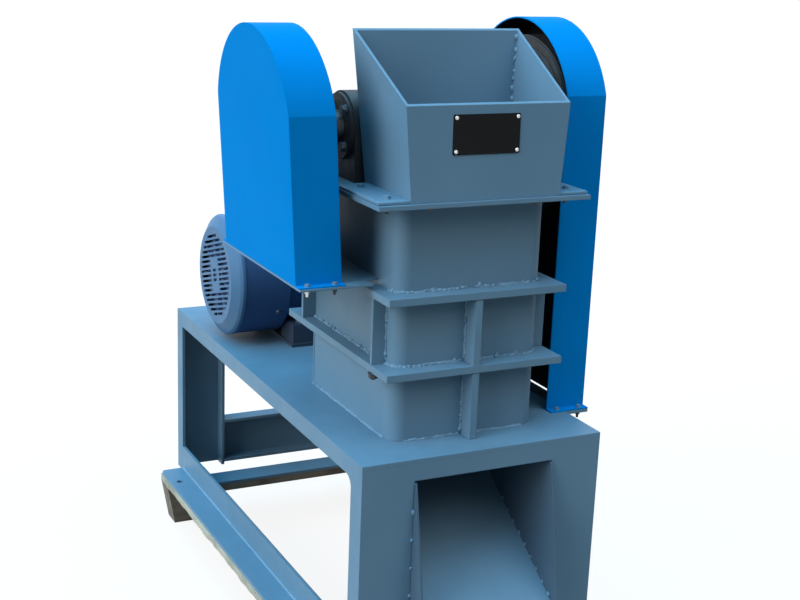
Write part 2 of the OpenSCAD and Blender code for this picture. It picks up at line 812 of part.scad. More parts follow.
module toggle_seat() {
  back = body_back - wall_t;
  nut_t = 12;
  stood() color(cast_grey) {
    box([-jaw_w / 2 + 10, back - seat_block + seat_gap, toggle_low],
      [jaw_w / 2 - 10, back, toggle_low + 2 * seat_block]);
    for (x = [-screw_x, screw_x]) {
      bar_y(x, back - past, body_back + 2.5 * nut_t, screw_z, screw_r);
      bar_y(x, body_back + seat_gap, body_back + seat_gap + nut_t, screw_z, 1.6 * screw_r, 6);
    }
  }
}

module motor_body() {
  x0 = -cowl_x + cowl_l - cowl_lap;
  x1 = motor_end;
  rim_r = cowl_r - cowl_shell - seat_gap;
  box_half = 48;
  box_d = 40;
  box_top = motor_z + barrel_r + 28;
  lid_t = 7;
  stood() color(motor_navy) {
    turned_x(0, motor_y, motor_z) polygon([[0, x0 + fan_room], [rim_r - cowl_shell, x0 + fan_room],
      [rim_r - cowl_shell, x0], [rim_r, x0], [rim_r, x0 + cowl_lap + seat_gap],
      [drum_r, x0 + cowl_lap + seat_gap], [drum_r, drum_end], [barrel_r, drum_end],
      [barrel_r, x1 - 44], [barrel_r + 4, x1 - 44],
      [barrel_r + 4, x1 - 30], [barrel_r - 6, x1 - 16], [44, x1 - 10], [36, x1], [0, x1]]);
    box([-box_half, motor_y - box_d, motor_z], [box_half, motor_y + box_d, box_top]);
    box([-box_half - 2, motor_y - box_d - 2, box_top], [box_half + 2, motor_y + box_d + 2, box_top + lid_t]);
  }
}

module motor_fan_cowl() {
  shell = cowl_shell;
  bevel_x = 0.52 * cowl_l;
  pitch = 2 * cowl_face_r * 0.85 / slot_rows;
  slot_half = 0.27 * pitch;
  slot_r = 0.84 * cowl_face_r;
  hub_r = 0.34 * cowl_face_r;
  eye_half = 0.12 * cowl_face_r;
  stood() color(cowl_grey_blue) difference() {
    turned_x(-cowl_x, motor_y, motor_z) polygon([[0, 0], [cowl_face_r, 0], [cowl_r - shell, bevel_x],
      [cowl_r, cowl_rim_x], [cowl_r, cowl_l], [cowl_r - shell, cowl_l],
      [cowl_r - shell, cowl_rim_x + shell / 2],
      [cowl_r - 2 * shell, bevel_x + shell], [cowl_face_r - shell / 2, shell], [0, shell]]);
    for (i = [-(slot_rows - 1) / 2 : (slot_rows - 1) / 2]) {
      h = i * pitch;
      reach = sqrt(slot_r * slot_r - h * h) + slot_half;
      bar = abs(h) < hub_r ? 2 * eye_half : 0;
      spans = bar == 0 ? [[-reach, reach]] : abs(i) > 1 ? [[-reach, -bar], [bar, reach]]
        : [[-reach, -bar], [-eye_half, eye_half], [bar, reach]];
      translate([-cowl_x, motor_y, motor_z]) rotate([-slot_turn, 0, 0])
        for (span = spans) box([-past, span[0], h - slot_half], [shell + past, span[1], h + slot_half]);
    }
  }
}

module motor_base() {
  reach = barrel_r + base_rim;
  x0 = drum_end + base_rear_gap;
  x1 = motor_end - base_front_gap;
  foot_top = motor_z - foot_share * barrel_r;
  stood() color(motor_navy) difference() {
    union() {
      box([x0, motor_y - reach, 0], [x1, motor_y + reach, section_t]);
      for (x = [x0 + foot_inset, x1 - foot_w - foot_inset]) for (side = [-foot_half_gap, foot_half_gap])
        box([x, motor_y + side - foot_d / 2, section_t], [x + foot_w, motor_y + side + foot_d / 2, foot_top]);
    }
    bar_x(x0 - past, x1 + past, motor_y, motor_z, barrel_r + seat_gap);
  }
}

// Outline of an arched guard in (Y, Z), smaller by inset: straight sides up to spring, then one arc
module arch(inset, low, spring, top) {
  half = guard_half_d - inset;
  rise = top - spring;
  r = (guard_half_d * guard_half_d + rise * rise) / (2 * rise) - inset;
  translate([shaft_y - half, low]) square([2 * half, spring - low]);
  intersection() {
    translate([shaft_y, top - inset - r]) circle(r, $fn = 128);
    translate([shaft_y - half, spring - past]) square([2 * half, rise + past]);
  }
}

// Room between two faces that lean out with height, as wide as the flywheel guard, from x0 at its foot
module leaning_room(x0) {
  reach = guard_half_d + past;
  low = past * guard_slope;
  high = guard_lean + past * guard_slope;
  along_y(shaft_y - reach, 2 * reach) polygon([
    [x0 + low, bracket_top - past], [x0 + left_guard_w + low, bracket_top - past],
    [x0 + left_guard_w - high, left_guard_top + past], [x0 - high, left_guard_top + past]]);
}

// Arched block that leans out with height, smaller by inset
module leaning_arch(inset) {
  intersection() {
    along_x(-left_guard_x - guard_lean - past, left_guard_w + guard_lean + guard_t + 2 * past)
      arch(inset, inset == 0 ? bracket_top : bracket_top - past, left_guard_spring, left_guard_top);
    leaning_room(-left_guard_x + inset);
  }
}

module left_guard() {
  x0 = -left_guard_x;
  reach = guard_half_d + guard_flange_d;
  stood() color(sheet_blue) difference() {
    union() {
      leaning_arch(0);
      box([x0, shaft_y - reach, bracket_top], [x0 + left_guard_w, shaft_y + reach, bracket_top + guard_t]);
    }
    leaning_arch(guard_t);
  }
}

// Outline of the belt guard's long tail behind its arch, smaller by inset
module belt_tail(inset, low) {
  rear = tail_back - inset;
  polygon([[shaft_y, low], [rear, low], [rear, motor_z + motor_pulley_r - inset],
    [shaft_y + guard_half_d - inset, right_guard_spring - inset], [shaft_y, right_guard_spring - inset]]);
}

module right_guard() {
  x0 = right_guard_x - right_guard_w;
  front = shaft_y - guard_half_d;
  stood() color(sheet_blue) difference() {
    union() {
      along_x(x0, right_guard_w) {
        arch(0, 0, right_guard_spring, right_guard_top);
        belt_tail(0, 0);
      }
      box([x0, front - guard_flange_d, 0], [right_guard_x, tail_back + guard_flange_d, guard_t]);
    }
    along_x(x0 - guard_t, right_guard_w) {
      arch(guard_t, -past, right_guard_spring, right_guard_top);
      belt_tail(guard_t, -past);
    }
  }
}

top_plate();
front_panel();
left_rear_leg();
right_rear_leg();
rear_cross_beam();
chute_left_side();
chute_right_side();
chute_floor();
left_base_rail();
right_base_rail();
rear_base_crossbar();
left_skid_board();
right_skid_board();
rear_skid_board();
rear_skid_bearer();
front_skid_bearer();
body_shell();
rear_wall();
lower_ring();
upper_ring();
top_flange();
front_ribs();
side_ribs();
left_guard_bracket();
right_guard_bracket();
hopper();
left_bearing_housing();
right_bearing_housing();
eccentric_shaft();
flywheel();
drive_pulley();
fixed_jaw_plate();
swing_jaw();
swing_jaw_plate();
left_cheek_plate();
right_cheek_plate();
toggle_plate();
toggle_seat();
motor_body();
motor_fan_cowl();
motor_base();
motor_pulley();
drive_belts();
left_guard();
right_guard();
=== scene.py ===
"""Looks of a laboratory jaw crusher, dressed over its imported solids.

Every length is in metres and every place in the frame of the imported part: X to the right, Y to the
back, Z up from the floor.
"""

import json
import logging
import math
import random
from collections.abc import Callable
from dataclasses import dataclass, field, replace
from enum import Enum

import bpy
from mathutils import Matrix, Vector


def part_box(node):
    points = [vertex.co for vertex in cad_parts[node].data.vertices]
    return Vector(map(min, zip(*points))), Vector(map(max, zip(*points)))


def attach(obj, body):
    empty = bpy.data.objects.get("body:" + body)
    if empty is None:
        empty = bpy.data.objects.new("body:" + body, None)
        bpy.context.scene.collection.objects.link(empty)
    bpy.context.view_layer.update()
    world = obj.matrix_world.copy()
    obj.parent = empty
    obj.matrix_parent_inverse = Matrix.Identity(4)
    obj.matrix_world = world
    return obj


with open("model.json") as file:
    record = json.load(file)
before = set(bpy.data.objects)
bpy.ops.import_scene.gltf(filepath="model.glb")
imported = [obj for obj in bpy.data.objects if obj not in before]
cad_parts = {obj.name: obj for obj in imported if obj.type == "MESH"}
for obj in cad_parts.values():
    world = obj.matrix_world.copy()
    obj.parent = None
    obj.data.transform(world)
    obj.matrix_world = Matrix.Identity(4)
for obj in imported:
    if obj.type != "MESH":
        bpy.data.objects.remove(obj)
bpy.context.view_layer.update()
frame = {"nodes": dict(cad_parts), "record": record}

LOG = logging.getLogger("jaw_crusher")

Pair = tuple[float, float]
Triple = tuple[float, float, float]
Colour = Triple
ShapeTest = Callable[[Vector, Vector], bool]
Spot = tuple[Vector, Vector]
Piece = bpy.types.Object
Socket = bpy.types.NodeSocket

MM = 0.001
UP = Vector((0.0, 0.0, 1.0))
DOWN = Vector((0.0, 0.0, -1.0))
X_AXIS = (1.0, 0.0, 0.0)
Z_AXIS = (0.0, 0.0, 1.0)
QUARTER_TURN = math.pi / 2
FULL_TURN = 2 * math.pi
ALIGNED = 0.9  # share of a unit direction from which it counts as along an axis
MERGE_GAP = 0.01 * MM  # points nearer than this become one
EDGE_SAMPLES = 4  # rays that soften an edge
INNER_SHADE_EDGE = 1.0 * MM  # distance over which the painted inner shade starts where faces turn inwards
INNER_SHADE_FADE = 0.2 * MM  # depth over which the painted inner shade starts and ends


class Body(Enum):
    """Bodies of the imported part."""

    MACHINE = "machine"
    ROTOR = "rotor"


class Slot(Enum):
    """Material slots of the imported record."""

    PLATE = "plate_paint"
    GUARD = "guard_paint"
    TIMBER = "timber"
    CASTING = "dark_casting"
    JAW = "jaw_steel"
    SHAFT = "shaft_steel"
    MOTOR = "motor_paint"
    COWL = "cowl_paint"
    BELT = "belt_rubber"


class Side(Enum):
    """Sides of the machine, seen from the discharge chute."""

    LEFT = -1
    RIGHT = 1


def middle(node: str) -> Vector:
    """Middle of a node's box."""
    low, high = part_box(node)
    return (low + high) / 2


def left_face(node: str) -> Vector:
    """Middle of the left face of a node's box."""
    centre = middle(node)
    return Vector((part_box(node)[0].x, centre.y, centre.z))


def looks_up(_: Vector, normal: Vector) -> bool:
    """Tell whether a face looks upwards."""
    return normal.z > ALIGNED


def anywhere(*_: Vector) -> bool:
    """Accept every face or edge."""
    return True


@dataclass(frozen=True)
class Pattern:
    """Noise on object coordinates, and the part of its range that shows."""

    scale: float
    detail: float = 3.0
    low: float = 0.3
    high: float = 0.7


class Shader:
    """Node tree of one material, built up a node at a time."""

    def __init__(self, name: str) -> None:
        """Start a material with a plain principled surface.

        Args:
            name: Name of the material.
        """
        self.material = bpy.data.materials.new(name)
        self.material.use_nodes = True
        self.tree = self.material.node_tree
        self.surface = self.tree.nodes["Principled BSDF"]
        self.coords = self.node("ShaderNodeTexCoord").outputs["Object"]

    def node(self, kind: str) -> bpy.types.Node:
        """Add a node of a kind and return it."""
        return self.tree.nodes.new(kind)

    def link(self, source: Socket, target: Socket) -> None:
        """Join two sockets."""
        self.tree.links.new(source, target)

    def set(self, socket: str, value: float | tuple) -> None:
        """Set a constant on the surface's own socket."""
        self.surface.inputs[socket].default_value = value

    def drive(self, socket: str, source: Socket) -> None:
        """Let a pattern feed one of the surface's sockets."""
        self.link(source, self.surface.inputs[socket])

    def noise(self, pattern: Pattern, stretch: Triple = (1.0, 1.0, 1.0)) -> Socket:
        """Add a noise pattern on object coordinates.

        Args:
            pattern: Lumps per metre and octaves of finer lumps.
            stretch: Squeeze of the pattern along each axis.

        Returns:
            The pattern's grey value.
        """
        mapping = self.node("ShaderNodeMapping")
        mapping.inputs["Scale"].default_value = stretch
        self.link(self.coords, mapping.inputs["Vector"])
        texture = self.node("ShaderNodeTexNoise")
        texture.inputs["Scale"].default_value = pattern.scale
        texture.inputs["Detail"].default_value = pattern.detail
        self.link(mapping.outputs["Vector"], texture.inputs["Vector"])
        return texture.outputs["Fac"]

    def ramp(self, fac: Socket, low: float, high: float,
             first: float = 0.0, last: float = 1.0) -> Socket:
        """Map a grey value from one range to another.

        Args:
            fac: Value to map.
            low: Value that becomes first.
            high: Value that becomes last.
            first: Start of the new range.
            last: End of the new range.

        Returns:
            The mapped value, held within its new range.
        """
        mapped = self.node("ShaderNodeMapRange")
        limits = {"From Min": low, "From Max": high, "To Min": first, "To Max": last}
        for socket, value in limits.items():
            mapped.inputs[socket].default_value = value
        self.link(fac, mapped.inputs["Value"])
        return mapped.outputs["Result"]

    def spread(self, pattern: Pattern, first: float = 0.0, last: float = 1.0,
               stretch: Triple = (1.0, 1.0, 1.0)) -> Socket:
        """Spread the part of a noise pattern that shows over a range."""
        return self.ramp(self.noise(pattern, stretch), pattern.low, pattern.high, first, last)

    def times(self, first: Socket, second: Socket) -> Socket:
        """Multiply two grey values.

        Args:
            first: One value.
            second: The other value.

        Returns:
            Their product.
        """
        product = self.node("ShaderNodeMath")
        product.operation = "MULTIPLY"
        self.link(first, product.inputs[0])
        self.link(second, product.inputs[1])
        return product.outputs[0]

    def mix(self, fac: Socket, first: Colour | Socket, second: Colour | Socket) -> Socket:
        """Blend two colours.

        Args:
            fac: Share of the second colour.
            first: Colour, or socket, at share 0.
            second: Colour, or socket, at share 1.

        Returns:
            The blended colour.
        """
        blend = self.node("ShaderNodeMix")
        blend.data_type = "RGBA"
        self.link(fac, blend.inputs["Factor"])
        for label, value in (("A", first), ("B", second)):
            socket = next(s for s in blend.inputs if s.name == label and s.type == "RGBA")
            if isinstance(value, Socket):
                self.link(value, socket)
            else:
                socket.default_value = (*value, 1.0)
        return next(s for s in blend.outputs if s.type == "RGBA")

    def facing_up(self, low: float, high: float) -> Socket:
        """Find the faces that look upwards.

        Args:
            low: Upward share of a normal at which the value starts to rise.
            high: Upward share at which it is full.

        Returns:
            Grey value that is 1 on level faces.
        """
        split = self.node("ShaderNodeSeparateXYZ")
        self.link(self.node("ShaderNodeNewGeometry").outputs["Normal"], split.inputs["Vector"])
        return self.ramp(split.outputs["Z"], low, high)

    def facing_in(self, centre: Triple, depth: Pair) -> Socket:
        """Find the faces between two depths that look towards a centre.

        Args:
            centre: Point that the faces look at.
            depth: Least and greatest Y of those faces.

        Returns:
            Grey value that is 1 on those faces and 0 elsewhere.
        """
        offset, along = self.node("ShaderNodeVectorMath"), self.node("ShaderNodeVectorMath")
        offset.operation, along.operation = "SUBTRACT", "DOT_PRODUCT"
        self.link(self.coords, offset.inputs[0])
        offset.inputs[1].default_value = centre
        self.link(offset.outputs["Vector"], along.inputs[0])
        self.link(self.node("ShaderNodeNewGeometry").outputs["Normal"], along.inputs[1])
        inward = self.ramp(along.outputs["Value"], INNER_SHADE_EDGE, -INNER_SHADE_EDGE)
        split = self.node("ShaderNodeSeparateXYZ")
        self.link(self.coords, split.inputs["Vector"])
        for limit, fade in zip(depth, (INNER_SHADE_FADE, -INNER_SHADE_FADE)):
            inward = self.times(inward, self.ramp(split.outputs["Y"], limit, limit + fade))
        return inward

    def bump(self, height: Socket, strength: float, distance: float, edge: float) -> None:
        """Raise the surface by a pattern and soften its edges.

        Args:
            height: Pattern that raises the surface.
            strength: Share of the pattern that counts.
            distance: Height of the pattern.
            edge: Radius of the softened edges.
        """
        bump = self.node("ShaderNodeBump")
        bump.inputs["Strength"].default_value = strength
        bump.inputs["Distance"].default_value = distance
        self.link(height, bump.inputs["Height"])
        round_off = self.node("ShaderNodeBevel")
        round_off.samples = EDGE_SAMPLES
        round_off.inputs["Radius"].default_value = edge
        self.link(round_off.outputs["Normal"], bump.inputs["Normal"])
        self.drive("Normal", bump.outputs["Normal"])


@dataclass(frozen=True)
class Paint:
    """Paint sprayed on steel, with cloudy tone, settled dust and a faint orange peel, and painted
    shade on the faces turned towards a centre where one is given.
    """

    name: str
    colour: Colour
    cloud: Colour
    dust: Colour
    dust_share: float = 0.25
    gloss_low: float = 0.34
    gloss_high: float = 0.50
    peel: float = 0.06
    shine: float = 0.16
    edge: float = 1.3 * MM
    ior: float = 1.5
    # near-black colour of the painted shade on faces turned towards the centre
    inner_shade: Colour = (0.012, 0.013, 0.016)
    centre: Triple | None = None
    depth: Pair = (-1.0, 1.0)
    dust_slope: Pair = (0.55, 0.95)
    peel_height: float = 0.4 * MM
    clouds: Pattern = Pattern(6.0, 4.0, 0.35, 0.68)
    flecks: Pattern = Pattern(30.0, 6.0, 0.42, 0.75)
    sheen: Pattern = Pattern(18.0)
    dimples: Pattern = Pattern(420.0, 1.0)

    def material(self) -> bpy.types.Material:
        """Build the paint as a material.

        Returns:
            The material.
        """
        shader = Shader(self.name)
        tone = shader.mix(shader.spread(self.clouds), self.colour, self.cloud)
        settled = shader.times(shader.facing_up(*self.dust_slope), shader.spread(self.flecks))
        share = shader.ramp(settled, 0.0, 1.0, 0.0, self.dust_share)
        colour = shader.mix(share, tone, self.dust)
        # faces that look towards the centre get painted shade, near black
        if self.centre is not None:
            colour = shader.mix(shader.facing_in(self.centre, self.depth), colour, self.inner_shade)
        shader.drive("Base Color", colour)
        shader.drive("Roughness", shader.spread(self.sheen, self.gloss_low, self.gloss_high))
        shader.set("Specular IOR Level", self.shine)
        shader.set("IOR", self.ior)
        shader.bump(shader.noise(self.dimples), self.peel, self.peel_height, self.edge)
        return shader.material


@dataclass(frozen=True)
class CastIron:
    """Cast or forged iron with a coarse skin and oily patches."""

    name: str
    colour: Colour
    worn: Colour
    metallic: float = 0.35
    rough_low: float = 0.45
    rough_high: float = 0.65
    skin: float = 0.18
    skin_height: float = 0.6 * MM
    edge: float = 1.0 * MM
    patches: Pattern = Pattern(16.0, 5.0, 0.38)
    sheen: Pattern = Pattern(60.0)
    grains: Pattern = Pattern(260.0)

    def material(self) -> bpy.types.Material:
        """Build the iron as a material.

        Returns:
            The material.
        """
        shader = Shader(self.name)
        shader.drive("Base Color", shader.mix(shader.spread(self.patches), self.colour, self.worn))
        shader.set("Metallic", self.metallic)
        shader.drive("Roughness", shader.spread(self.sheen, self.rough_low, self.rough_high))
        shader.bump(shader.noise(self.grains), self.skin, self.skin_height, self.edge)
        return shader.material


@dataclass(frozen=True)
class BrightSteel:
    """Bare steel with a fine turned or plated sheen."""

    name: str
    colour: Colour
    rough_low: float = 0.22
    rough_high: float = 0.38
    rings: Pattern = Pattern(90.0, 2.0)
    stretch: Triple = (6.0, 1.0, 1.0)

    def material(self) -> bpy.types.Material:
        """Build the steel as a material.

        Returns:
            The material.
        """
        shader = Shader(self.name)
        shader.set("Base Color", (*self.colour, 1.0))
        shader.set("Metallic", 1.0)
        rough = shader.spread(self.rings, self.rough_low, self.rough_high, self.stretch)
        shader.drive("Roughness", rough)
        return shader.material


@dataclass(frozen=True)
class Timber:
    """Rough-sawn, weathered softwood with grain along one axis."""

    name: str
    colour: Colour
    grain: Colour
    stain: Colour
    along: Triple
    rough: float = 0.85
    stain_share: float = 0.7
    saw_marks: float = 0.4
    saw_depth: float = 0.8 * MM
    edge: float = 1.0 * MM
    streaks: Pattern = Pattern(70.0, 5.0, 0.36, 0.66)
    stains: Pattern = Pattern(14.0, 5.0, 0.48, 0.72)
    splinters: Pattern = Pattern(220.0)

    def material(self) -> bpy.types.Material:
        """Build the wood as a material.

        Returns:
            The material.
        """
        shader = Shader(self.name)
        streaks = shader.spread(self.streaks, stretch=self.along)
        wood = shader.mix(streaks, self.colour, self.grain)
        soiled = shader.spread(self.stains, 0.0, self.stain_share)
        shader.drive("Base Color", shader.mix(soiled, wood, self.stain))
        shader.set("Roughness", self.rough)
        splinters = shader.noise(self.splinters, self.along)
        shader.bump(splinters, self.saw_marks, self.saw_depth, self.edge)
        return shader.material


@dataclass(frozen=True)
class Rubber:
    """Matt black rubber."""

    name: str
    colour: Colour
    rough_low: float = 0.6
    rough_high: float = 0.8
    sheen: Pattern = Pattern(80.0)

    def material(self) -> bpy.types.Material:
        """Build the rubber as a material.

        Returns:
            The material.
        """
        shader = Shader(self.name)
        shader.set("Base Color", (*self.colour, 1.0))
        shader.drive("Roughness", shader.spread(self.sheen, self.rough_low, self.rough_high))
        return shader.material


Finish = Paint | CastIron | BrightSteel | Timber | Rubber

PLATE_PAINT = Paint(
    "plate paint", (0.116, 0.211, 0.297), (0.131, 0.234, 0.327), (0.165, 0.28, 0.385))
# the welds' paint is the plate's blue made lighter, as painted highlight, with more dust and a
# glossier sheen
WELD_HIGHLIGHT_PAINT = Paint(
    "weld paint with painted highlight", (0.130, 0.238, 0.340), (0.165, 0.283, 0.390), (0.22, 0.35, 0.47),
    dust_share=0.5, gloss_low=0.28, gloss_high=0.42)
# darker copy of the plate paint for the chute's sides: painted shade inside the discharge chute
CHUTE_SHADE_PAINT = Paint(
    "chute side paint with painted shade", (0.068, 0.118, 0.172), (0.077, 0.132, 0.190), (0.10, 0.17, 0.24))
# lighter than the cowl's paint: painted light on the fan inside the shaded cowl, so its slots show
# dark blue instead of black
FAN_LIGHT_PAINT = Paint("fan paint with painted light", (0.12, 0.20, 0.38), (0.13, 0.215, 0.40), (0.14, 0.22, 0.40))
FOOT_PAINT = Paint(
    "motor foot paint", (0.034, 0.050, 0.082), (0.042, 0.060, 0.095), (0.07, 0.10, 0.14))
GUARD_PAINT = Paint(
    "guard paint", (0.0005, 0.205, 0.56), (0.001, 0.215, 0.585), (0.002, 0.24, 0.62),
    dust_share=0.1, gloss_low=0.36, gloss_high=0.46, peel=0.03, shine=0.02, ior=1.18)
# navy, darker than the cowl's blue: partly the motor's own paint and partly the shade under the
# flywheel guard, painted in
MOTOR_SHADE_PAINT = Paint(
    "motor paint with painted shade", (0.034, 0.076, 0.170), (0.040, 0.086, 0.19), (0.07, 0.12, 0.20),
    dust_share=0.3)
COWL_PAINT = Paint(
    "cowl paint", (0.066, 0.150, 0.265), (0.074, 0.166, 0.288), (0.13, 0.24, 0.36))
BLACK_PLATE = Paint(
    "black plate", (0.004, 0.004, 0.005), (0.006, 0.006, 0.007), (0.01, 0.01, 0.01),
    dust_share=0.1, gloss_low=0.42, gloss_high=0.52, peel=0.02, shine=0.10, edge=0.3 * MM)
DARK_CASTING = CastIron("dark casting", (0.020, 0.022, 0.026), (0.040, 0.044, 0.05))
JAW_STEEL = CastIron("jaw steel", (0.14, 0.14, 0.14), (0.22, 0.21, 0.20), 0.85, 0.36, 0.55)
DARK_BOLT = CastIron("blackened bolt", (0.022, 0.023, 0.026), (0.040, 0.042, 0.046), 0.15)
OILED_BOLT = CastIron("oiled bolt", (0.07, 0.085, 0.105), (0.12, 0.14, 0.165), 0.4)
RUSTY_BOLT = CastIron("rusty bolt", (0.10, 0.075, 0.055), (0.16, 0.11, 0.07), 0.2)
SHAFT_STEEL = BrightSteel("shaft steel", (0.15, 0.16, 0.175), 0.34, 0.5)
BOLT_STEEL = BrightSteel("bolt steel", (0.62, 0.61, 0.58))
BOARD_TIMBER = Timber(
    "board timber", (0.38, 0.33, 0.25), (0.48, 0.43, 0.34), (0.20, 0.17, 0.13), (1.0, 0.05, 1.0))
# darker copy of the board timber: painted shade on the bearers and the rear board under the stand
SHADED_TIMBER = Timber(
    "timber with painted shade", (0.14, 0.11, 0.085), (0.24, 0.20, 0.155), (0.05, 0.042, 0.035),
    (0.05, 1.0, 1.0))
BELT_RUBBER = Rubber("belt rubber", (0.012, 0.012, 0.013))


@dataclass(frozen=True)
class Spin:
    """Turn about an axis through a centre, made in steps."""

    centre: Vector
    axis: Triple
    angle: float
    steps: int


@dataclass(frozen=True)
class Grit:
    """How the points of an uneven mesh stray, and how far they are smoothed again."""

    evenness: float
    outward: float
    smoothing: float
    passes: int
    smooth_angle: float


@dataclass
class Bench:
    """The modelling tools, used on one object at a time."""

    made: dict[str, bpy.types.Material] = field(default_factory=dict)

    def paint(self, finish: Finish) -> bpy.types.Material:
        """Build a finish's material once and hand it out again later.

        Args:
            finish: Finish to build.

        Returns:
            Its material.
        """
        if finish.name not in self.made:
            self.made[finish.name] = finish.material()
        return self.made[finish.name]

    def clear(self) -> None:
        """Leave edit mode and select nothing."""
        if bpy.context.object and bpy.context.object.mode != "OBJECT":
            bpy.ops.object.mode_set(mode="OBJECT")
        bpy.ops.object.select_all(action="DESELECT")

    def only(self, piece: Piece) -> None:
        """Select one object and make it active.

        Args:
            piece: Object to select.
        """
        self.clear()
        piece.select_set(True)
        bpy.context.view_layer.objects.active = piece

    def unselected(self, piece: Piece, kind: str) -> None:
        """Deselect all of a mesh's faces or edges and return to object mode.

        Args:
            piece: Object to work on.
            kind: Name of Blender's select mode for faces or edges.
        """
        self.only(piece)
        bpy.ops.object.mode_set(mode="EDIT")
        bpy.ops.mesh.select_mode(type=kind)
        bpy.ops.mesh.select_all(action="DESELECT")
        bpy.ops.object.mode_set(mode="OBJECT")

    def edit_faces(self, piece: Piece, wanted: ShapeTest) -> None:
        """Enter edit mode with some faces selected.

        Args:
            piece: Object to edit.
            wanted: Test on a face's centre and normal.
        """
        self.unselected(piece, "FACE")
        for face in piece.data.polygons:
            face.select = wanted(face.center, face.normal)
        bpy.ops.object.mode_set(mode="EDIT")

    def edit_edges(self, piece: Piece, wanted: ShapeTest) -> None:
        """Enter edit mode with some edges selected.

        Args:
            piece: Object to edit.
            wanted: Test on an edge's middle and direction.
        """
        self.unselected(piece, "EDGE")
        points = piece.data.vertices
        for edge in piece.data.edges:
            first, second = (points[i].co for i in edge.vertices)
            edge.select = wanted((first + second) / 2, (second - first).normalized())
        bpy.ops.object.mode_set(mode="EDIT")

    def done(self) -> None:
        """Leave edit mode."""
        bpy.ops.object.mode_set(mode="OBJECT")

    def bevel_top(self, piece: Piece, width: float, steps: int) -> None:
        """Round or break the edges around the faces that look up.

        Args:
            piece: Object to bevel.
            width: Width of the bevel.
            steps: Number of facets across it.
        """
        self.edit_faces(piece, looks_up)
        bpy.ops.mesh.bevel(offset=width, segments=steps)
        self.done()

    def bevel_edges(self, piece: Piece, wanted: ShapeTest, width: float, steps: int) -> None:
        """Round some edges.

        Args:
            piece: Object to bevel.
            wanted: Test on an edge's middle and direction.
            width: Width of the bevel.
            steps: Number of facets across it.
        """
        self.edit_edges(piece, wanted)
        bpy.ops.mesh.bevel(offset=width, segments=steps)
        self.done()

    def cylinder(self, radius: float, high: float, lift: float, sides: int) -> Piece:
        """Start from an upright cylinder at the origin.

        Args:
            radius: Its radius.
            high: Its height.
            lift: Height of its underside.
            sides: Number of its sides.

        Returns:
            The cylinder, still plain.
        """
        self.clear()
        bpy.ops.mesh.primitive_cylinder_add(
            vertices=sides, radius=radius, depth=high, location=(0.0, 0.0, lift + high / 2))
        return bpy.context.object

    def block(self, size: Triple | Vector, place: Triple | Vector) -> Piece:
        """Start from a block around a place.

        Args:
            size: Its extent along each axis.
            place: Its middle.

        Returns:
            The block, still plain.
        """
        self.clear()
        bpy.ops.mesh.primitive_cube_add(size=1.0, location=place, scale=size)
        piece = bpy.context.object
        self.settle(piece)
        return piece

    def spun(self, radius: float, sides: int, place: Vector, heading: float, spin: Spin) -> Piece:
        """Spin an upright round section and stay in edit mode with all of it selected.

        Args:
            radius: Radius of the section.
            sides: Number of its sides.
            place: Its middle.
            heading: Its turn about Z, in radians.
            spin: Turn that sweeps it.

        Returns:
            The swept tube, closed into a ring by a full turn.
        """
        self.clear()
        bpy.ops.mesh.primitive_circle_add(
            vertices=sides, radius=radius, fill_type="NOTHING", location=place,
            rotation=(QUARTER_TURN, 0.0, heading))
        piece = bpy.context.object
        bpy.ops.object.transform_apply(location=True, rotation=True, scale=True)
        self.edit_edges(piece, anywhere)
        bpy.ops.mesh.spin(steps=spin.steps, angle=spin.angle, center=spin.centre, axis=spin.axis)
        bpy.ops.mesh.select_all(action="SELECT")
        if spin.angle == FULL_TURN:
            bpy.ops.mesh.remove_doubles(threshold=MERGE_GAP)
        bpy.ops.mesh.normals_make_consistent(inside=False)
        return piece

    def settle(self, piece: Piece, smooth_angle: float = 35.0) -> None:
        """Put an object's place into its mesh and smooth its gentle edges.

        Args:
            piece: Object to settle.
            smooth_angle: Edges under this angle, in degrees, are shaded smooth.
        """
        self.only(piece)
        bpy.ops.object.transform_apply(location=True, rotation=True, scale=True)
        bpy.ops.object.shade_smooth_by_angle(angle=math.radians(smooth_angle))

    def roughen(self, piece: Piece, offset: float, seed: int, grit: Grit) -> Piece:
        """Make the mesh in edit mode uneven, as by hand or wear, and settle it.

        Args:
            piece: Object in edit mode.
            offset: Size of the unevenness.
            seed: Number that sets it.
            grit: Kind of unevenness.

        Returns:
            The same object.
        """
        bpy.ops.mesh.select_all(action="SELECT")
        bpy.ops.transform.vertex_random(
            offset=offset, uniform=grit.evenness, normal=grit.outward, seed=seed)
        bpy.ops.mesh.vertices_smooth(factor=grit.smoothing, repeat=grit.passes)
        self.done()
        self.settle(piece, grit.smooth_angle)
        return piece

    def copy(self, piece: Piece, place: Matrix) -> Piece:
        """Copy an object with its own mesh.

        Args:
            piece: Object to copy.
            place: Move that takes the copy to its place.

        Returns:
            The copy.
        """
        twin = piece.copy()
        twin.data = piece.data.copy()
        twin.data.transform(place)
        bpy.context.scene.collection.objects.link(twin)
        return twin

    def join(self, pieces: list[Piece], name: str) -> Piece:
        """Join objects into one.

        Args:
            pieces: Objects to join.
            name: Name of the joined piece.

        Returns:
            The joined piece.
        """
        self.only(pieces[0])
        for piece in pieces[1:]:
            piece.select_set(True)
        if len(pieces) > 1:
            bpy.ops.object.join()
        joined = bpy.context.view_layer.objects.active
        joined.name = joined.data.name = name
        return joined

    def dress(self, piece: Piece, finish: Finish, slot: Slot, body: Body = Body.MACHINE) -> None:
        """Give a new piece its finish and the body that carries it.

        Args:
            piece: Finished object.
            finish: Finish that covers it.
            slot: Record's slot that the finish belongs to; not used.
            body: Body that it moves with.
        """
        piece.data.materials.clear()
        piece.data.materials.append(self.paint(finish))
        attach(piece, body.value)
        LOG.info("made %s on %s", piece.name, body.value)


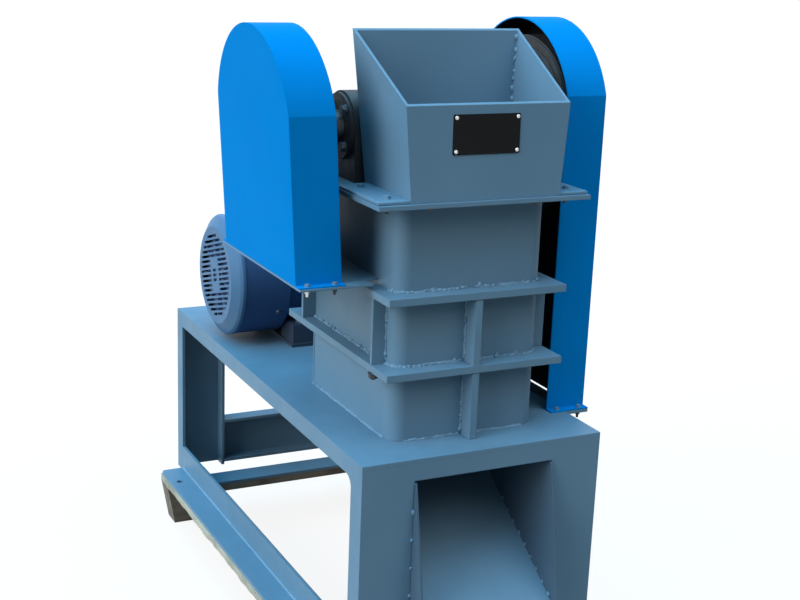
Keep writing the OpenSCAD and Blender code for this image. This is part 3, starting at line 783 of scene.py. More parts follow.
@dataclass
class Solids:
    """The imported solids, which keep their shape and get their finishes."""

    bench: Bench
    finishes: dict[Slot, Finish] = field(default_factory=lambda: {
        Slot.PLATE: PLATE_PAINT, Slot.GUARD: GUARD_PAINT, Slot.TIMBER: BOARD_TIMBER,
        Slot.CASTING: DARK_CASTING, Slot.JAW: JAW_STEEL, Slot.SHAFT: SHAFT_STEEL,
        # the motor's navy carries painted shade in part
        Slot.MOTOR: MOTOR_SHADE_PAINT, Slot.COWL: COWL_PAINT, Slot.BELT: BELT_RUBBER})
    odd: dict[str, Finish] = field(default_factory=lambda: {
        # the bearers and the rear board take the darker timber, as painted shade
        "rear_skid_bearer": SHADED_TIMBER, "front_skid_bearer": SHADED_TIMBER,
        "rear_skid_board": SHADED_TIMBER, "motor_base": FOOT_PAINT,
        # the chute's sides take the darker plate paint, as painted shade
        "chute_left_side": CHUTE_SHADE_PAINT, "chute_right_side": CHUTE_SHADE_PAINT})
    # guards whose inward faces get painted shade
    shaded_inside: tuple[str, ...] = ("left_guard", "right_guard")
    guard_flange: float = 13.0 * MM

    def finish_of(self, name: str, slot: Slot) -> Finish:
        """Finish of one node: its slot's, unless it is an odd one or a guard, whose inward faces get
        painted shade.

        Args:
            name: Name of the node.
            slot: Record's slot of the node.

        Returns:
            The finish.
        """
        if name not in self.shaded_inside:
            return self.odd.get(name, self.finishes[slot])
        # a guard's paint gets painted shade, near black, on the faces that look towards the shaft's
        # line between its flanges
        low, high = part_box(name)
        axle = middle("eccentric_shaft")
        return replace(
            GUARD_PAINT, name=f"{name} paint", centre=((low.x + high.x) / 2, axle.y, axle.z),
            depth=(low.y + self.guard_flange, high.y - self.guard_flange))

    def build(self) -> None:
        """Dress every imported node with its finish."""
        for part in frame["record"]["subparts"]:
            name = part["node"]
            finish = self.finish_of(name, Slot(part["material_slot"]))
            node = frame["nodes"][name]
            node.data.materials.clear()
            node.data.materials.append(self.bench.paint(finish))
            LOG.info("dressed %s with %s", name, finish.name)


@dataclass
class Fasteners:
    """Bolts, nuts and screws, modelled once each and copied.

    Sizes without a unit are shares of the thread's diameter, or of a screw head's radius.
    """

    bench: Bench
    sides: int = 24
    washer_r: float = 1.05
    washer_t: float = 0.2
    washer_edge: float = 0.3
    hex_r: float = 0.92
    head_h: float = 0.64
    nut_h: float = 0.8
    chamfer: float = 0.12
    chamfer_rise: float = 0.6
    stud_r: float = 0.5
    stud_edge: float = 0.12
    stud_sunk: float = 0.2
    pan_h: float = 0.6
    pan_edge: float = 0.42
    round_smooth: float = 50.0
    hex_smooth: float = 20.0
    turn: float = 0.7

    def rounded(self, radius: float, high: float, lift: float, edge: float, steps: int) -> Piece:
        """Model a round piece with a rounded or broken top edge.

        Args:
            radius: Outer radius.
            high: Height.
            lift: Height of its underside.
            edge: Width of the broken edge.
            steps: Number of facets on that edge.

        Returns:
            The round piece.
        """
        piece = self.bench.cylinder(radius, high, lift, self.sides)
        self.bench.bevel_top(piece, edge, steps)
        self.bench.settle(piece, self.round_smooth)
        return piece

    def hexagon(self, radius: float, high: float, lift: float) -> Piece:
        """Model a hexagon with a chamfered top.

        Args:
            radius: Radius over its corners.
            high: Height.
            lift: Height of its underside.

        Returns:
            The hexagon.
        """
        piece = self.bench.cylinder(radius, high, lift, 6)
        self.bench.edit_faces(piece, looks_up)
        bpy.ops.mesh.inset(thickness=self.chamfer * radius, depth=0.0)
        rise = self.chamfer_rise * self.chamfer * radius
        bpy.ops.transform.translate(value=(0.0, 0.0, rise))
        self.bench.done()
        self.bench.settle(piece, self.hex_smooth)
        return piece

    def on_washer(self, size: float, high: float) -> list[Piece]:
        """Model a hexagon on its washer.

        Args:
            size: Diameter of the thread.
            high: Height of the hexagon.

        Returns:
            Washer and hexagon.
        """
        thick = self.washer_t * size
        washer = self.rounded(self.washer_r * size, thick, 0.0, self.washer_edge * thick, 1)
        return [washer, self.hexagon(self.hex_r * size, high, thick)]

    def bolt(self, size: float) -> Piece:
        """Model a hexagon bolt's head on its washer, for a thread of this diameter."""
        return self.bench.join(self.on_washer(size, self.head_h * size), "bolt pattern")

    def nut(self, size: float, stud_out: float) -> Piece:
        """Model a nut on its washer with the bolt's end standing out of it.

        Args:
            size: Diameter of the thread.
            stud_out: Length of bolt past the nut.

        Returns:
            The nut with its washer and bolt end.
        """
        high = self.nut_h * size
        sunk = self.stud_sunk * high
        parts = self.on_washer(size, high)
        parts.append(self.rounded(self.stud_r * size, stud_out + sunk,
                                  self.washer_t * size + high - sunk, self.stud_edge * size, 2))
        return self.bench.join(parts, "nut pattern")

    def pan_head(self, radius: float) -> Piece:
        """Model a round screw head."""
        return self.rounded(radius, self.pan_h * radius, 0.0, self.pan_edge * radius, 4)

    def fit(self, pattern: Piece, spots: list[Spot], name: str, finish: Finish, slot: Slot) -> None:
        """Copy a pattern to several places as one piece, dress it and remove the pattern.

        Args:
            pattern: Fastener standing on the ground along Z.
            spots: Seat and outward direction of each copy.
            name: Name of the joined piece.
            finish: Finish that covers it.
            slot: Record's slot that the finish belongs to.
        """
        copies = []
        for count, (seat, out) in enumerate(spots):
            aim = out.to_track_quat("Z", "Y").to_matrix().to_4x4()
            spin = Matrix.Rotation(self.turn * count, 4, "Z")
            copies.append(self.bench.copy(pattern, Matrix.Translation(seat) @ aim @ spin))
        bpy.data.objects.remove(pattern)
        self.bench.dress(self.bench.join(copies, name), finish, slot)


@dataclass(frozen=True)
class Run:
    """Straight run of weld between two points."""

    start: Vector
    end: Vector
    radius: float
    rough: float


@dataclass
class WeldSeams:
    """Uneven fillet welds along the body, its rings and ribs, the hopper and the chute."""

    bench: Bench
    smooth: float = 0.08
    calm: float = 0.65
    uneven: float = 0.75
    bent: float = 0.7
    foot_r: float = 2.5 * MM
    ring_r: float = 2.4 * MM
    rib_r: float = 2.0 * MM
    seam_r: float = 1.6 * MM
    fillet_r: float = 2.4 * MM
    rib_ends: Pair = (4.0 * MM, 6.0 * MM)
    seam_ends: Pair = (3.0 * MM, 2.0 * MM)
    section_t: float = 5.0 * MM
    step: float = 3.0 * MM
    cuts: tuple[int, int] = (2, 96)
    bead_sides: int = 8
    grit: Grit = Grit(0.2, 0.8, 0.35, 1, 80.0)
    corner_r: float = 20.0 * MM
    corner_starts: Pair = (1.5 * math.pi, 2.0 * math.pi)
    corner_steps: int = 9
    corner_lumps: int = 6
    lump_r: float = 3.3 * MM
    lump_sides: int = 10
    lump_rings: int = 6
    lump_shape: Triple = (1.0, 0.75, 1.25)
    lump_rough: float = 0.4
    lump_gap: float = 7.0 * MM
    lump_turn: float = 1.3
    scatter: float = 1.6 * MM
    body_sizes: Pair = (0.45, 1.25)
    hopper_sizes: Pair = (0.8, 1.5)
    chute_sizes: Pair = (0.6, 1.05)
    lump_seed: int = 5
    size_seed: int = 3
    stray_seed: int = 7
    hopper_seed: int = 11
    flare: float = 0.08
    back_lean: float = 0.09
    hopper_sheet: float = 4.0 * MM
    hopper_step: float = 2.0 * MM
    hopper_count: int = 15
    hopper_first: float = 14.0 * MM
    hopper_gap: float = 12.5 * MM
    hopper_stray: float = 0.4
    floor_count: int = 9
    floor_first: float = 22.0 * MM
    floor_gap: float = 17.0 * MM
    floor_lift: float = 5.0 * MM
    floor_sheet: float = 4.0 * MM
    panel_count: int = 4
    panel_first: float = 67.0 * MM
    panel_gap: float = 40.0 * MM
    panel_out: float = 4.0 * MM
    panel_proud: float = 0.5 * MM

    def bead(self, run: Run, seed: int) -> Piece:
        """Model one straight run of weld.

        Args:
            run: Place and radius of the run.
            seed: Number that sets its unevenness.

        Returns:
            The bead.
        """
        way = run.end - run.start
        self.bench.clear()
        bpy.ops.mesh.primitive_cylinder_add(
            vertices=self.bead_sides, radius=run.radius, depth=way.length,
            location=(run.start + run.end) / 2, rotation=way.to_track_quat("Z", "Y").to_euler())
        piece = bpy.context.object
        self.bench.edit_edges(piece, lambda _, along: abs(along.z) > ALIGNED)
        fewest, most = self.cuts
        cuts = max(fewest, min(most, round(way.length / self.step)))
        bpy.ops.mesh.subdivide(number_cuts=cuts)
        return self.bench.roughen(piece, run.rough * run.radius, seed, self.grit)

    def corner(self, centre: Vector, start: float, seed: int) -> Piece:
        """Model a run of weld around one rounded corner of the body.

        Args:
            centre: Centre of the corner's rounding.
            start: Direction of the run's start, in radians.
            seed: Number that sets its unevenness.

        Returns:
            The curved bead.
        """
        place = centre + self.corner_r * Vector((math.cos(start), math.sin(start), 0.0))
        spin = Spin(centre, Z_AXIS, QUARTER_TURN, self.corner_steps)
        piece = self.bench.spun(self.ring_r, self.bead_sides, place, start, spin)
        return self.bench.roughen(piece, self.bent * self.ring_r, seed, self.grit)

    def lump(self) -> Piece:
        """Model one spot of weld, flattened and uneven, centred on the origin.

        Returns:
            The lump.
        """
        self.bench.clear()
        bpy.ops.mesh.primitive_uv_sphere_add(
            segments=self.lump_sides, ring_count=self.lump_rings, radius=self.lump_r)
        piece = bpy.context.object
        self.bench.edit_faces(piece, anywhere)
        bpy.ops.transform.resize(value=self.lump_shape)
        return self.bench.roughen(piece, self.lump_rough * self.lump_r, self.lump_seed, self.grit)

    def levels(self) -> Triple:
        """Heights of the body's foot and of the tops of its two rings."""
        rings = (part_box(node)[1].z for node in ("lower_ring", "upper_ring"))
        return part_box("body_shell")[0].z, *rings

    def upright(self, x: float, y: float, rise: Pair, radius: float, rough: float) -> Run:
        """Run between two heights at one place of the body."""
        low, high = (Vector((x, y, z)) for z in rise)
        return Run(low, high, radius, rough)

    def level_runs(self) -> list[Run]:
        """Straight runs around the body's foot and above its rings.

        Returns:
            The runs, level by level.
        """
        low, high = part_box("body_shell")
        rib_low, rib_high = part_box("front_ribs")
        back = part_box("rear_wall")[1].y - self.corner_r
        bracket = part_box("left_guard_bracket")[0].y
        foot, lower, upper = self.levels()
        fronts = ((low.x + self.corner_r, rib_low.x), (rib_high.x, high.x - self.corner_r))
        runs = []
        for z, radius, rough in ((foot, self.foot_r, self.calm), (lower, self.ring_r, self.uneven),
                                 (upper, self.ring_r, self.uneven)):
            for left, right in fronts:
                ends = (Vector((x, low.y, z)) for x in (left, right))
                runs.append(Run(*ends, radius, rough))
            for x in (low.x, high.x):
                end = bracket if z == upper and x == low.x else back
                ends = (Vector((x, y, z)) for y in (low.y + self.corner_r, end))
                runs.append(Run(*ends, radius, rough))
        return runs

    def upright_runs(self) -> list[Run]:
        """Straight runs up the body's ribs and seams.

        Returns:
            The runs, storey by storey, and then those of the side ribs.
        """
        low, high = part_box("body_shell")
        rib_low, rib_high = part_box("front_ribs")
        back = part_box("rear_wall")[1].y - self.corner_r
        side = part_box("side_ribs")[0].y
        foot, lower, upper = self.levels()
        ring_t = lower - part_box("lower_ring")[0].z
        rib_low_end, rib_high_end = self.rib_ends
        seam_low_end, seam_high_end = self.seam_ends
        runs = []
        for bottom, top in ((foot, lower - ring_t), (lower, upper - ring_t)):
            rib = (bottom + rib_low_end, top - rib_high_end)
            seam = (bottom + seam_low_end, top - seam_high_end)
            runs += [self.upright(x, rib_high.y, rib, self.rib_r, self.uneven)
                     for x in (rib_low.x, rib_high.x)]
            runs += [self.upright(x, back, seam, self.seam_r, self.smooth)
                     for x in (low.x, high.x)]
        rib = (lower + rib_low_end, upper - 2 * ring_t)
        return runs + [self.upright(x, side, rib, self.rib_r, self.uneven)
                       for x in (low.x, high.x)]

    def rail_runs(self) -> list[Run]:
        """Smooth fillets in the inner corners of both base rails.

        Returns:
            The runs.
        """
        runs = []
        for side, node in ((Side.LEFT, "left_base_rail"), (Side.RIGHT, "right_base_rail")):
            low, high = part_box(node)
            x = high.x - self.section_t if side is Side.LEFT else low.x + self.section_t
            ends = (Vector((x, y, low.z + self.section_t)) for y in (low.y, high.y))
            runs.append(Run(*ends, self.fillet_r, self.smooth))
        return runs

    def corners(self) -> list[tuple[Vector, float]]:
        """Find the rounded corners above both rings.

        Returns:
            Centre of each corner, and the direction in which its bead starts.
        """
        low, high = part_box("body_shell")
        xs = (low.x + self.corner_r, high.x - self.corner_r)
        return [(Vector((x, low.y + self.corner_r, z)), start)
                for z in self.levels()[1:] for x, start in zip(xs, self.corner_starts)]

    def corner_spots(self) -> list[Vector]:
        """Places of lumps around the rounded corners above both rings.

        Returns:
            The places.
        """
        spots = []
        for centre, start in self.corners():
            for step in range(self.corner_lumps):
                angle = start - QUARTER_TURN * (step + 0.5) / self.corner_lumps
                out = Vector((math.cos(angle), math.sin(angle), 0.0))
                spots.append(centre + self.corner_r * out)
        return spots

    def lump_spots(self, runs: list[Run]) -> list[Vector]:
        """Places of thicker lumps along the uneven runs.

        Args:
            runs: Runs of weld.

        Returns:
            The places.
        """
        dice = random.Random(self.stray_seed)
        spots = []
        for run in (run for run in runs if run.rough == self.uneven):
            way = run.end - run.start
            for step in range(int(way.length / self.lump_gap)):
                share = (step + dice.random()) * self.lump_gap / way.length
                stray = Vector([dice.uniform(-self.scatter, self.scatter) for _ in range(3)])
                spots.append(run.start + min(share, 1.0) * way + stray)
        return spots

    def hopper_spots(self) -> list[Vector]:
        """Spots of weld up the hopper's inner back corners.

        Returns:
            The places.
        """
        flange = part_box("top_flange")[1].z
        back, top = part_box("hopper")[1].y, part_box("hopper")[1].z
        low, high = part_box("body_shell")
        half = (high.x - low.x) / 2 - self.hopper_step - self.hopper_sheet
        dice = random.Random(self.hopper_seed)
        spots = []
        for side in Side:
            for step in range(self.hopper_count):
                stray = dice.uniform(-self.hopper_stray, self.hopper_stray)
                rise = self.hopper_first + self.hopper_gap * (step + stray)
                x = middle("body_shell").x + side.value * (half + self.flare * rise)
                y = back - self.back_lean * (top - flange - rise) - self.hopper_sheet
                spots.append(Vector((x, y, flange + rise)))
        return spots

    def chute_spots(self) -> list[Vector]:
        """Spots of weld where the chute's sides meet the panel and its floor.

        Returns:
            The places.
        """
        low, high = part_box("chute_floor")
        panel_low, panel_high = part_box("front_panel")
        slope = (high.z - low.z - self.floor_sheet) / (high.y - low.y)
        half = (high.x - low.x) / 2
        spots = []
        for side in Side:
            x = middle("chute_floor").x + side.value * half
            for step in range(self.floor_count):
                run = self.floor_first + self.floor_gap * step
                rise = self.floor_lift + slope * run
                spots.append(Vector((x, low.y + run, low.z + rise)))
            x += side.value * self.panel_out
            for step in range(self.panel_count):
                drop = self.panel_first + self.panel_gap * step
                spots.append(Vector((x, panel_low.y - self.panel_proud, panel_high.z - drop)))
        return spots

    def build(self) -> None:
        """Model all welds and join them into one piece."""
        runs = self.level_runs() + self.upright_runs()
        parts = [self.bead(run, seed) for seed, run in enumerate(runs + self.rail_runs())]
        for seed, (centre, start) in enumerate(self.corners()):
            parts.append(self.corner(centre, start, seed))
        pattern = self.lump()
        dice = random.Random(self.size_seed)
        body_spots = self.lump_spots(runs) + self.corner_spots()
        for spots, axis, sizes in ((body_spots, "X", self.body_sizes),
                                   (self.hopper_spots(), "Z", self.hopper_sizes),
                                   (self.chute_spots(), "Z", self.chute_sizes)):
            for count, spot in enumerate(spots):
                turn = Matrix.Rotation(self.lump_turn * count, 4, axis)
                shape = turn @ Matrix.Scale(dice.uniform(*sizes), 4)
                parts.append(self.bench.copy(pattern, Matrix.Translation(spot) @ shape))
        bpy.data.objects.remove(pattern)
        # the welds take the lighter paint, a painted highlight
        self.bench.dress(self.bench.join(parts, "weld_seams"), WELD_HIGHLIGHT_PAINT, Slot.PLATE)


@dataclass
class HopperFittings:
    """Bolts of the hopper and its flange, and the bare black plate on its front wall."""

    bench: Bench
    tools: Fasteners
    bolt_size: float = 5.0 * MM
    bolt_in: float = 12.0 * MM
    bolt_rows: Pair = (22.0 * MM, 102.0 * MM)
    stud_out: float = 4.0 * MM
    short_stud: float = 2.0 * MM
    foot_t: float = 4.0 * MM
    nut_size: float = 4.0 * MM
    nut_x: float = 78.0 * MM
    nut_in: float = 12.0 * MM
    plate_size: Triple = (97.0 * MM, 51.0 * MM, 1.2 * MM)
    plate_corner: float = 2.0 * MM
    plate_edge: float = 0.3 * MM
    plate_x: float = -4.5 * MM
    plate_rise: float = 85.0 * MM
    lean: float = 0.03
    screw_r: float = 2.6 * MM
    screw_inset: float = 4.2 * MM
    strip_in: float = 1.5 * MM
    strip_front: float = 1.0 * MM
    strip_length: float = 127.0 * MM
    strip_lift: float = 0.5 * MM
    wall_in: float = 2.0 * MM
    strip_edge: float = 0.8 * MM
    ring_nut_size: float = 7.0 * MM
    ring_nut_in: Pair = (3.0 * MM, 48.0 * MM)

    def foot_strips(self) -> None:
        """Lay the wide strips that carry the hopper's bolts on the top flange."""
        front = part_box("hopper")[0].y + self.strip_front
        flange_low, flange_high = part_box("top_flange")
        body_low, body_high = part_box("body_shell")
        inner = (body_high.x - body_low.x) / 2 - self.wall_in
        outer = (flange_high.x - flange_low.x) / 2 - self.strip_in
        size = (outer - inner, self.strip_length, self.foot_t)
        strips = []
        for side in Side:
            x = (flange_low.x + flange_high.x) / 2 + side.value * (inner + outer) / 2
            place = (x, front + self.strip_length / 2,
                     flange_high.z + self.strip_lift + self.foot_t / 2)
            strip = self.bench.block(size, place)
            self.bench.bevel_top(strip, self.strip_edge, 2)
            strips.append(strip)
        self.bench.dress(self.bench.join(strips, "hopper_foot_strips"), PLATE_PAINT, Slot.PLATE)

    def bolts(self) -> None:
        """Bolt the hopper's side flanges to the top flange."""
        low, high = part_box("hopper")
        flange_low, flange_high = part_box("top_flange")
        places = [(x, low.y + row) for x in (low.x + self.bolt_in, high.x - self.bolt_in)
                  for row in self.bolt_rows]
        seat = flange_high.z + self.strip_lift + self.foot_t
        tops = [(Vector((*place, seat)), UP) for place in places]
        nuts = [(Vector((*place, flange_low.z)), DOWN) for place in places]
        self.tools.fit(self.tools.bolt(self.bolt_size), tops, "hopper_bolts",
                       PLATE_PAINT, Slot.PLATE)
        self.tools.fit(self.tools.nut(self.bolt_size, self.stud_out), nuts, "hopper_nuts",
                       DARK_BOLT, Slot.CASTING)

    def flange_nuts(self) -> None:
        """Add two nuts under the front of the top flange and one under the lower ring."""
        low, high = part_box("top_flange")
        centre = (low.x + high.x) / 2
        spots = [(Vector((centre + side.value * self.nut_x, low.y + self.nut_in, low.z)), DOWN)
                 for side in Side]
        self.tools.fit(self.tools.nut(self.nut_size, self.short_stud), spots, "flange_nuts",
                       RUSTY_BOLT, Slot.CASTING)
        under = [(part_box("lower_ring")[0] + Vector((*self.ring_nut_in, 0.0)), DOWN)]
        self.tools.fit(self.tools.nut(self.ring_nut_size, self.short_stud), under, "ring_nut",
                       DARK_BOLT, Slot.CASTING)

    def plate_seat(self) -> Matrix:
        """Place of the plate on the hopper's leaning front wall.

        Returns:
            The move from the ground to that place.
        """
        low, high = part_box("hopper")
        place = Vector(((low.x + high.x) / 2 + self.plate_x, low.y + self.lean * self.plate_rise,
                        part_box("top_flange")[1].z + self.plate_rise))
        tilt = Matrix.Rotation(QUARTER_TURN - math.atan(self.lean), 4, "X")
        return Matrix.Translation(place) @ tilt

    def plate(self) -> None:
        """Model the bare plate and its four screws."""
        wide, high, thick = self.plate_size
        seat = self.plate_seat()
        plate = self.bench.block(self.plate_size, (0.0, 0.0, thick / 2))
        self.bench.bevel_edges(plate, lambda _, way: abs(way.z) > ALIGNED, self.plate_corner, 4)
        self.bench.bevel_top(plate, self.plate_edge, 1)
        plate.data.transform(seat)
        plate.name = "nameplate"
        self.bench.dress(plate, BLACK_PLATE, Slot.CASTING)
        half_w, half_h = wide / 2 - self.screw_inset, high / 2 - self.screw_inset
        out = seat.to_3x3() @ UP
        spots = [(seat @ Vector((x, y, thick)), out)
                 for x in (-half_w, half_w) for y in (-half_h, half_h)]
        self.tools.fit(self.tools.pan_head(self.screw_r), spots, "nameplate_screws",
                       BOLT_STEEL, Slot.SHAFT)

    def build(self) -> None:
        """Add the hopper's fittings."""
        self.foot_strips()
        self.bolts()
        self.flange_nuts()
        self.plate()


@dataclass
class GuardFittings:
    """Bolts and nuts through both guards' flanges, and the strips at the belt guard's foot."""

    bench: Bench
    tools: Fasteners
    solids: Solids
    size: float = 3.8 * MM
    sheet: float = 2.0 * MM
    sheet_edge: float = 0.6 * MM
    left_foot_w: float = 64.0 * MM
    lip_w: float = 9.0 * MM
    strip_w: float = 24.0 * MM
    flange_mid: float = 6.5 * MM
    side_in: float = 13.0 * MM
    stud_out: float = 5.0 * MM

    def strip(self, inner: float, outer: float, lift: float, name: str) -> Piece:
        """Model a long sheet strip beside the belt guard's foot, with its inner edge rounded.

        Args:
            inner: X of its edge nearer to the stand.
            outer: X of its other edge.
            lift: Height of its underside.
            name: Name of the piece.

        Returns:
            The strip.
        """
        low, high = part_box("right_guard")
        inset = 2 * self.flange_mid + self.sheet
        front, back = low.y + inset, high.y - inset
        piece = self.bench.block((outer - inner, back - front, self.sheet),
                                 ((inner + outer) / 2, (front + back) / 2, lift + self.sheet / 2))
        piece.name = name
        self.bench.bevel_edges(
            piece, lambda place, way: place.x < inner + self.sheet and abs(way.y) > ALIGNED,
            self.sheet_edge, 2)
        return piece

    def foot_strips(self) -> None:
        """Fold the belt guard's outer sheet in at its foot, and lay a strip on the stand's edge,
        near black as painted shade.
        """
        low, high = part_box("right_guard")
        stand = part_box("top_plate")[1]
        outer = high.x - self.sheet / 2
        # the lip takes the belt guard's paint, with painted shade, near black, on its faces turned
        # inwards
        lip = self.strip(outer - self.lip_w, outer, low.z, "belt_guard_lip")
        self.bench.dress(lip, self.solids.finish_of("right_guard", Slot.GUARD), Slot.GUARD)
        # the strip on the stand's edge is near black, as painted shade between the body and the belt
        # guard
        edge = self.strip(stand.x - self.sheet / 2, stand.x + self.strip_w,
                          stand.z - self.sheet, "stand_edge_strip")
        self.bench.dress(edge, DARK_CASTING, Slot.CASTING)

    def build(self) -> None:
        """Bolt both guards down at the front and the back."""
        self.foot_strips()
        tops, nuts = [], []
        for node in ("left_guard", "right_guard"):
            low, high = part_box(node)
            seat_low, seat_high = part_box(f"{node}_bracket")
            left, right = low.x, high.x
            if node == "left_guard":
                left, right = seat_low.x, seat_low.x + self.left_foot_w
            for y in (low.y + self.flange_mid, high.y - self.flange_mid):
                for x in (left + self.side_in, right - self.side_in):
                    tops.append((Vector((x, y, low.z + self.sheet)), UP))
                    if seat_low.x < x < seat_high.x and seat_low.y < y < seat_high.y:
                        nuts.append((Vector((x, y, seat_low.z)), DOWN))
        self.tools.fit(self.tools.bolt(self.size), tops, "guard_bolts", PLATE_PAINT, Slot.PLATE)
        self.tools.fit(self.tools.nut(self.size, self.stud_out), nuts[:1], "plated_guard_nut",
                       BOLT_STEEL, Slot.SHAFT)
        self.tools.fit(self.tools.nut(self.size, self.stud_out), nuts[1:], "guard_nuts",
                       DARK_BOLT, Slot.CASTING)


@dataclass
class BearingFittings:
    """Bolts of the bearing caps and of the housings' feet."""

    tools: Fasteners
    cap_size: float = 7.0 * MM
    cap_circle: float = 35.0 * MM
    cap_bolts: int = 4
    foot_size: float = 12.0 * MM
    foot_in: float = 11.0 * MM
    foot_h: float = 16.0 * MM

    def build(self) -> None:
        """Bolt the caps and the feet."""
        axis = middle("drive_pulley")
        caps, feet = [], []
        for side, node in ((Side.LEFT, "left_bearing_housing"),
                           (Side.RIGHT, "right_bearing_housing")):
            low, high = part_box(node)
            face = low.x if side is Side.LEFT else high.x
            for count in range(self.cap_bolts):
                angle = FULL_TURN * (count + 0.5) / self.cap_bolts
                y = axis.y + self.cap_circle * math.cos(angle)
                z = axis.z + self.cap_circle * math.sin(angle)
                caps.append((Vector((face, y, z)), Vector((side.value, 0, 0))))
            seat = Vector(((low.x + high.x) / 2, high.y - self.foot_in, low.z + self.foot_h))
            feet.append((seat, UP))
        self.tools.fit(self.tools.bolt(self.cap_size), caps, "bearing_cap_bolts",
                       OILED_BOLT, Slot.CASTING)
        self.tools.fit(self.tools.bolt(self.foot_size), feet, "bearing_foot_bolts",
                       DARK_BOLT, Slot.CASTING)


@dataclass
class MotorFittings:
    """Fan behind the cowl's slots, and the motor's screws and bolts."""

    bench: Bench
    tools: Fasteners
    fan_r: float = 78.0 * MM
    fan_sides: int = 48
    hub_r: float = 24.0 * MM
    fan_w: float = 8.0 * MM
    disc_t: float = 3.0 * MM
    blade_t: float = 3.0 * MM
    blade_edge: float = 1.2 * MM
    blades: int = 9
    fan_gap: float = 4.0 * MM
    bolt_size: float = 9.0 * MM
    foot_in: Pair = (23.0 * MM, 22.0 * MM)
    lid_half: Pair = (43.0 * MM, 35.0 * MM)
    earth_x: float = 58.0 * MM
    lid_screw_r: float = 3.5 * MM
    earth_screw_r: float = 4.0 * MM
    earth_turn: float = math.radians(208.0)

    def disc(self) -> Piece:
        """Model the fan's disc with its hub drawn out towards the cowl.

        Returns:
            The disc, lying flat.
        """
        disc = self.bench.cylinder(self.fan_r, self.disc_t, self.fan_w, self.fan_sides)
        self.bench.edit_faces(disc, lambda _, normal: normal.z < -ALIGNED)
        bpy.ops.mesh.inset(thickness=self.fan_r - self.hub_r, depth=0.0)
        bpy.ops.mesh.extrude_region_move(
            TRANSFORM_OT_translate={"value": (0.0, 0.0, -self.fan_w)})
        self.bench.done()
        self.bench.settle(disc)
        return disc

    def blade_ring(self) -> Piece:
        """Model one blade with rounded edges and spin copies of it round the hub.

        Returns:
            All blades.
        """
        span = self.fan_r - self.hub_r
        blade = self.bench.block((span, self.blade_t, self.fan_w),
                                 (self.hub_r + span / 2, 0.0, self.fan_w / 2))
        self.bench.edit_edges(
            blade, lambda place, way: place.z < self.blade_edge / 2 and abs(way.x) > ALIGNED)
        bpy.ops.mesh.bevel(offset=self.blade_edge, segments=2)
        bpy.ops.mesh.select_all(action="SELECT")
        bpy.ops.mesh.spin(steps=self.blades, dupli=True, angle=FULL_TURN, center=(0.0, 0.0, 0.0),
                          axis=Z_AXIS)
        bpy.ops.mesh.select_all(action="SELECT")
        bpy.ops.mesh.remove_doubles(threshold=MERGE_GAP)
        bpy.ops.mesh.normals_make_consistent(inside=False)
        self.bench.done()
        return blade

    def fan(self) -> None:
        """Join disc and blades and set the fan behind the cowl's face."""
        fan = self.bench.join([self.disc(), self.blade_ring()], "motor_fan")
        place = left_face("motor_fan_cowl") + Vector((self.fan_gap, 0.0, 0.0))
        fan.data.transform(Matrix.Translation(place) @ Matrix.Rotation(QUARTER_TURN, 4, "Y"))
        # the fan's lighter paint is painted light inside the cowl
        self.bench.dress(fan, FAN_LIGHT_PAINT, Slot.MOTOR)

    def screws(self) -> None:
        """Screw down the terminal box's lid and add the earth screw on the barrel."""
        low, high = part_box("motor_body")
        centre = middle("top_plate").x
        axis = left_face("motor_fan_cowl")
        half_x, half_y = self.lid_half
        lid = [(Vector((centre + x, axis.y + y, high.z)), UP)
               for x in (-half_x, half_x) for y in (-half_y, half_y)]
        self.tools.fit(self.tools.pan_head(self.lid_screw_r), lid, "terminal_box_screws",
                       BOLT_STEEL, Slot.SHAFT)
        out = Vector((0.0, math.cos(self.earth_turn), math.sin(self.earth_turn)))
        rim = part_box("motor_fan_cowl")[1].x
        seat = Vector((rim + self.earth_x, axis.y, axis.z)) + (high.y - low.y) / 2 * out
        self.tools.fit(self.tools.pan_head(self.earth_screw_r), [(seat, out)], "earth_screw",
                       OILED_BOLT, Slot.CASTING)

    def base_bolts(self) -> None:
        """Bolt the motor's feet down."""
        low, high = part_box("motor_base")
        in_x, in_y = self.foot_in
        seats = [(Vector((x, y, high.z)), UP) for x in (low.x + in_x, high.x - in_x)
                 for y in (low.y + in_y, high.y - in_y)]
        self.tools.fit(self.tools.bolt(self.bolt_size), seats, "motor_base_bolts",
                       OILED_BOLT, Slot.CASTING)

    def build(self) -> None:
        """Add the motor's fittings."""
        self.fan()
        self.screws()
        self.base_bolts()


@dataclass
class PulleyRings:
    """Raised rings on the drive pulley's inner face, which turn with it."""

    bench: Bench
    ring_in: Pair = (5.0 * MM, 17.0 * MM)
    section_r: float = 1.8 * MM
    section_sides: int = 10
    facets: int = 72
    smooth_angle: float = 60.0

    def ring(self, centre: Vector, radius: float) -> Piece:
        """Spin one raised ring about the shaft's axis.

        Args:
            centre: Point on the axis in the pulley's face.
            radius: Radius of the ring.

        Returns:
            The ring.
        """
        piece = self.bench.spun(self.section_r, self.section_sides, centre + radius * UP, 0.0,
                                Spin(centre, X_AXIS, FULL_TURN, self.facets))
        self.bench.done()
        self.bench.settle(piece, self.smooth_angle)
        return piece

    def build(self) -> None:
        """Add the rings to the pulley's inner face."""
        low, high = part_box("drive_pulley")
        centre = left_face("drive_pulley")
        rings = [self.ring(centre, (high.z - low.z) / 2 - inset) for inset in self.ring_in]
        joined = self.bench.join(rings, "pulley_rings")
        self.bench.dress(joined, DARK_CASTING, Slot.CASTING, Body.ROTOR)


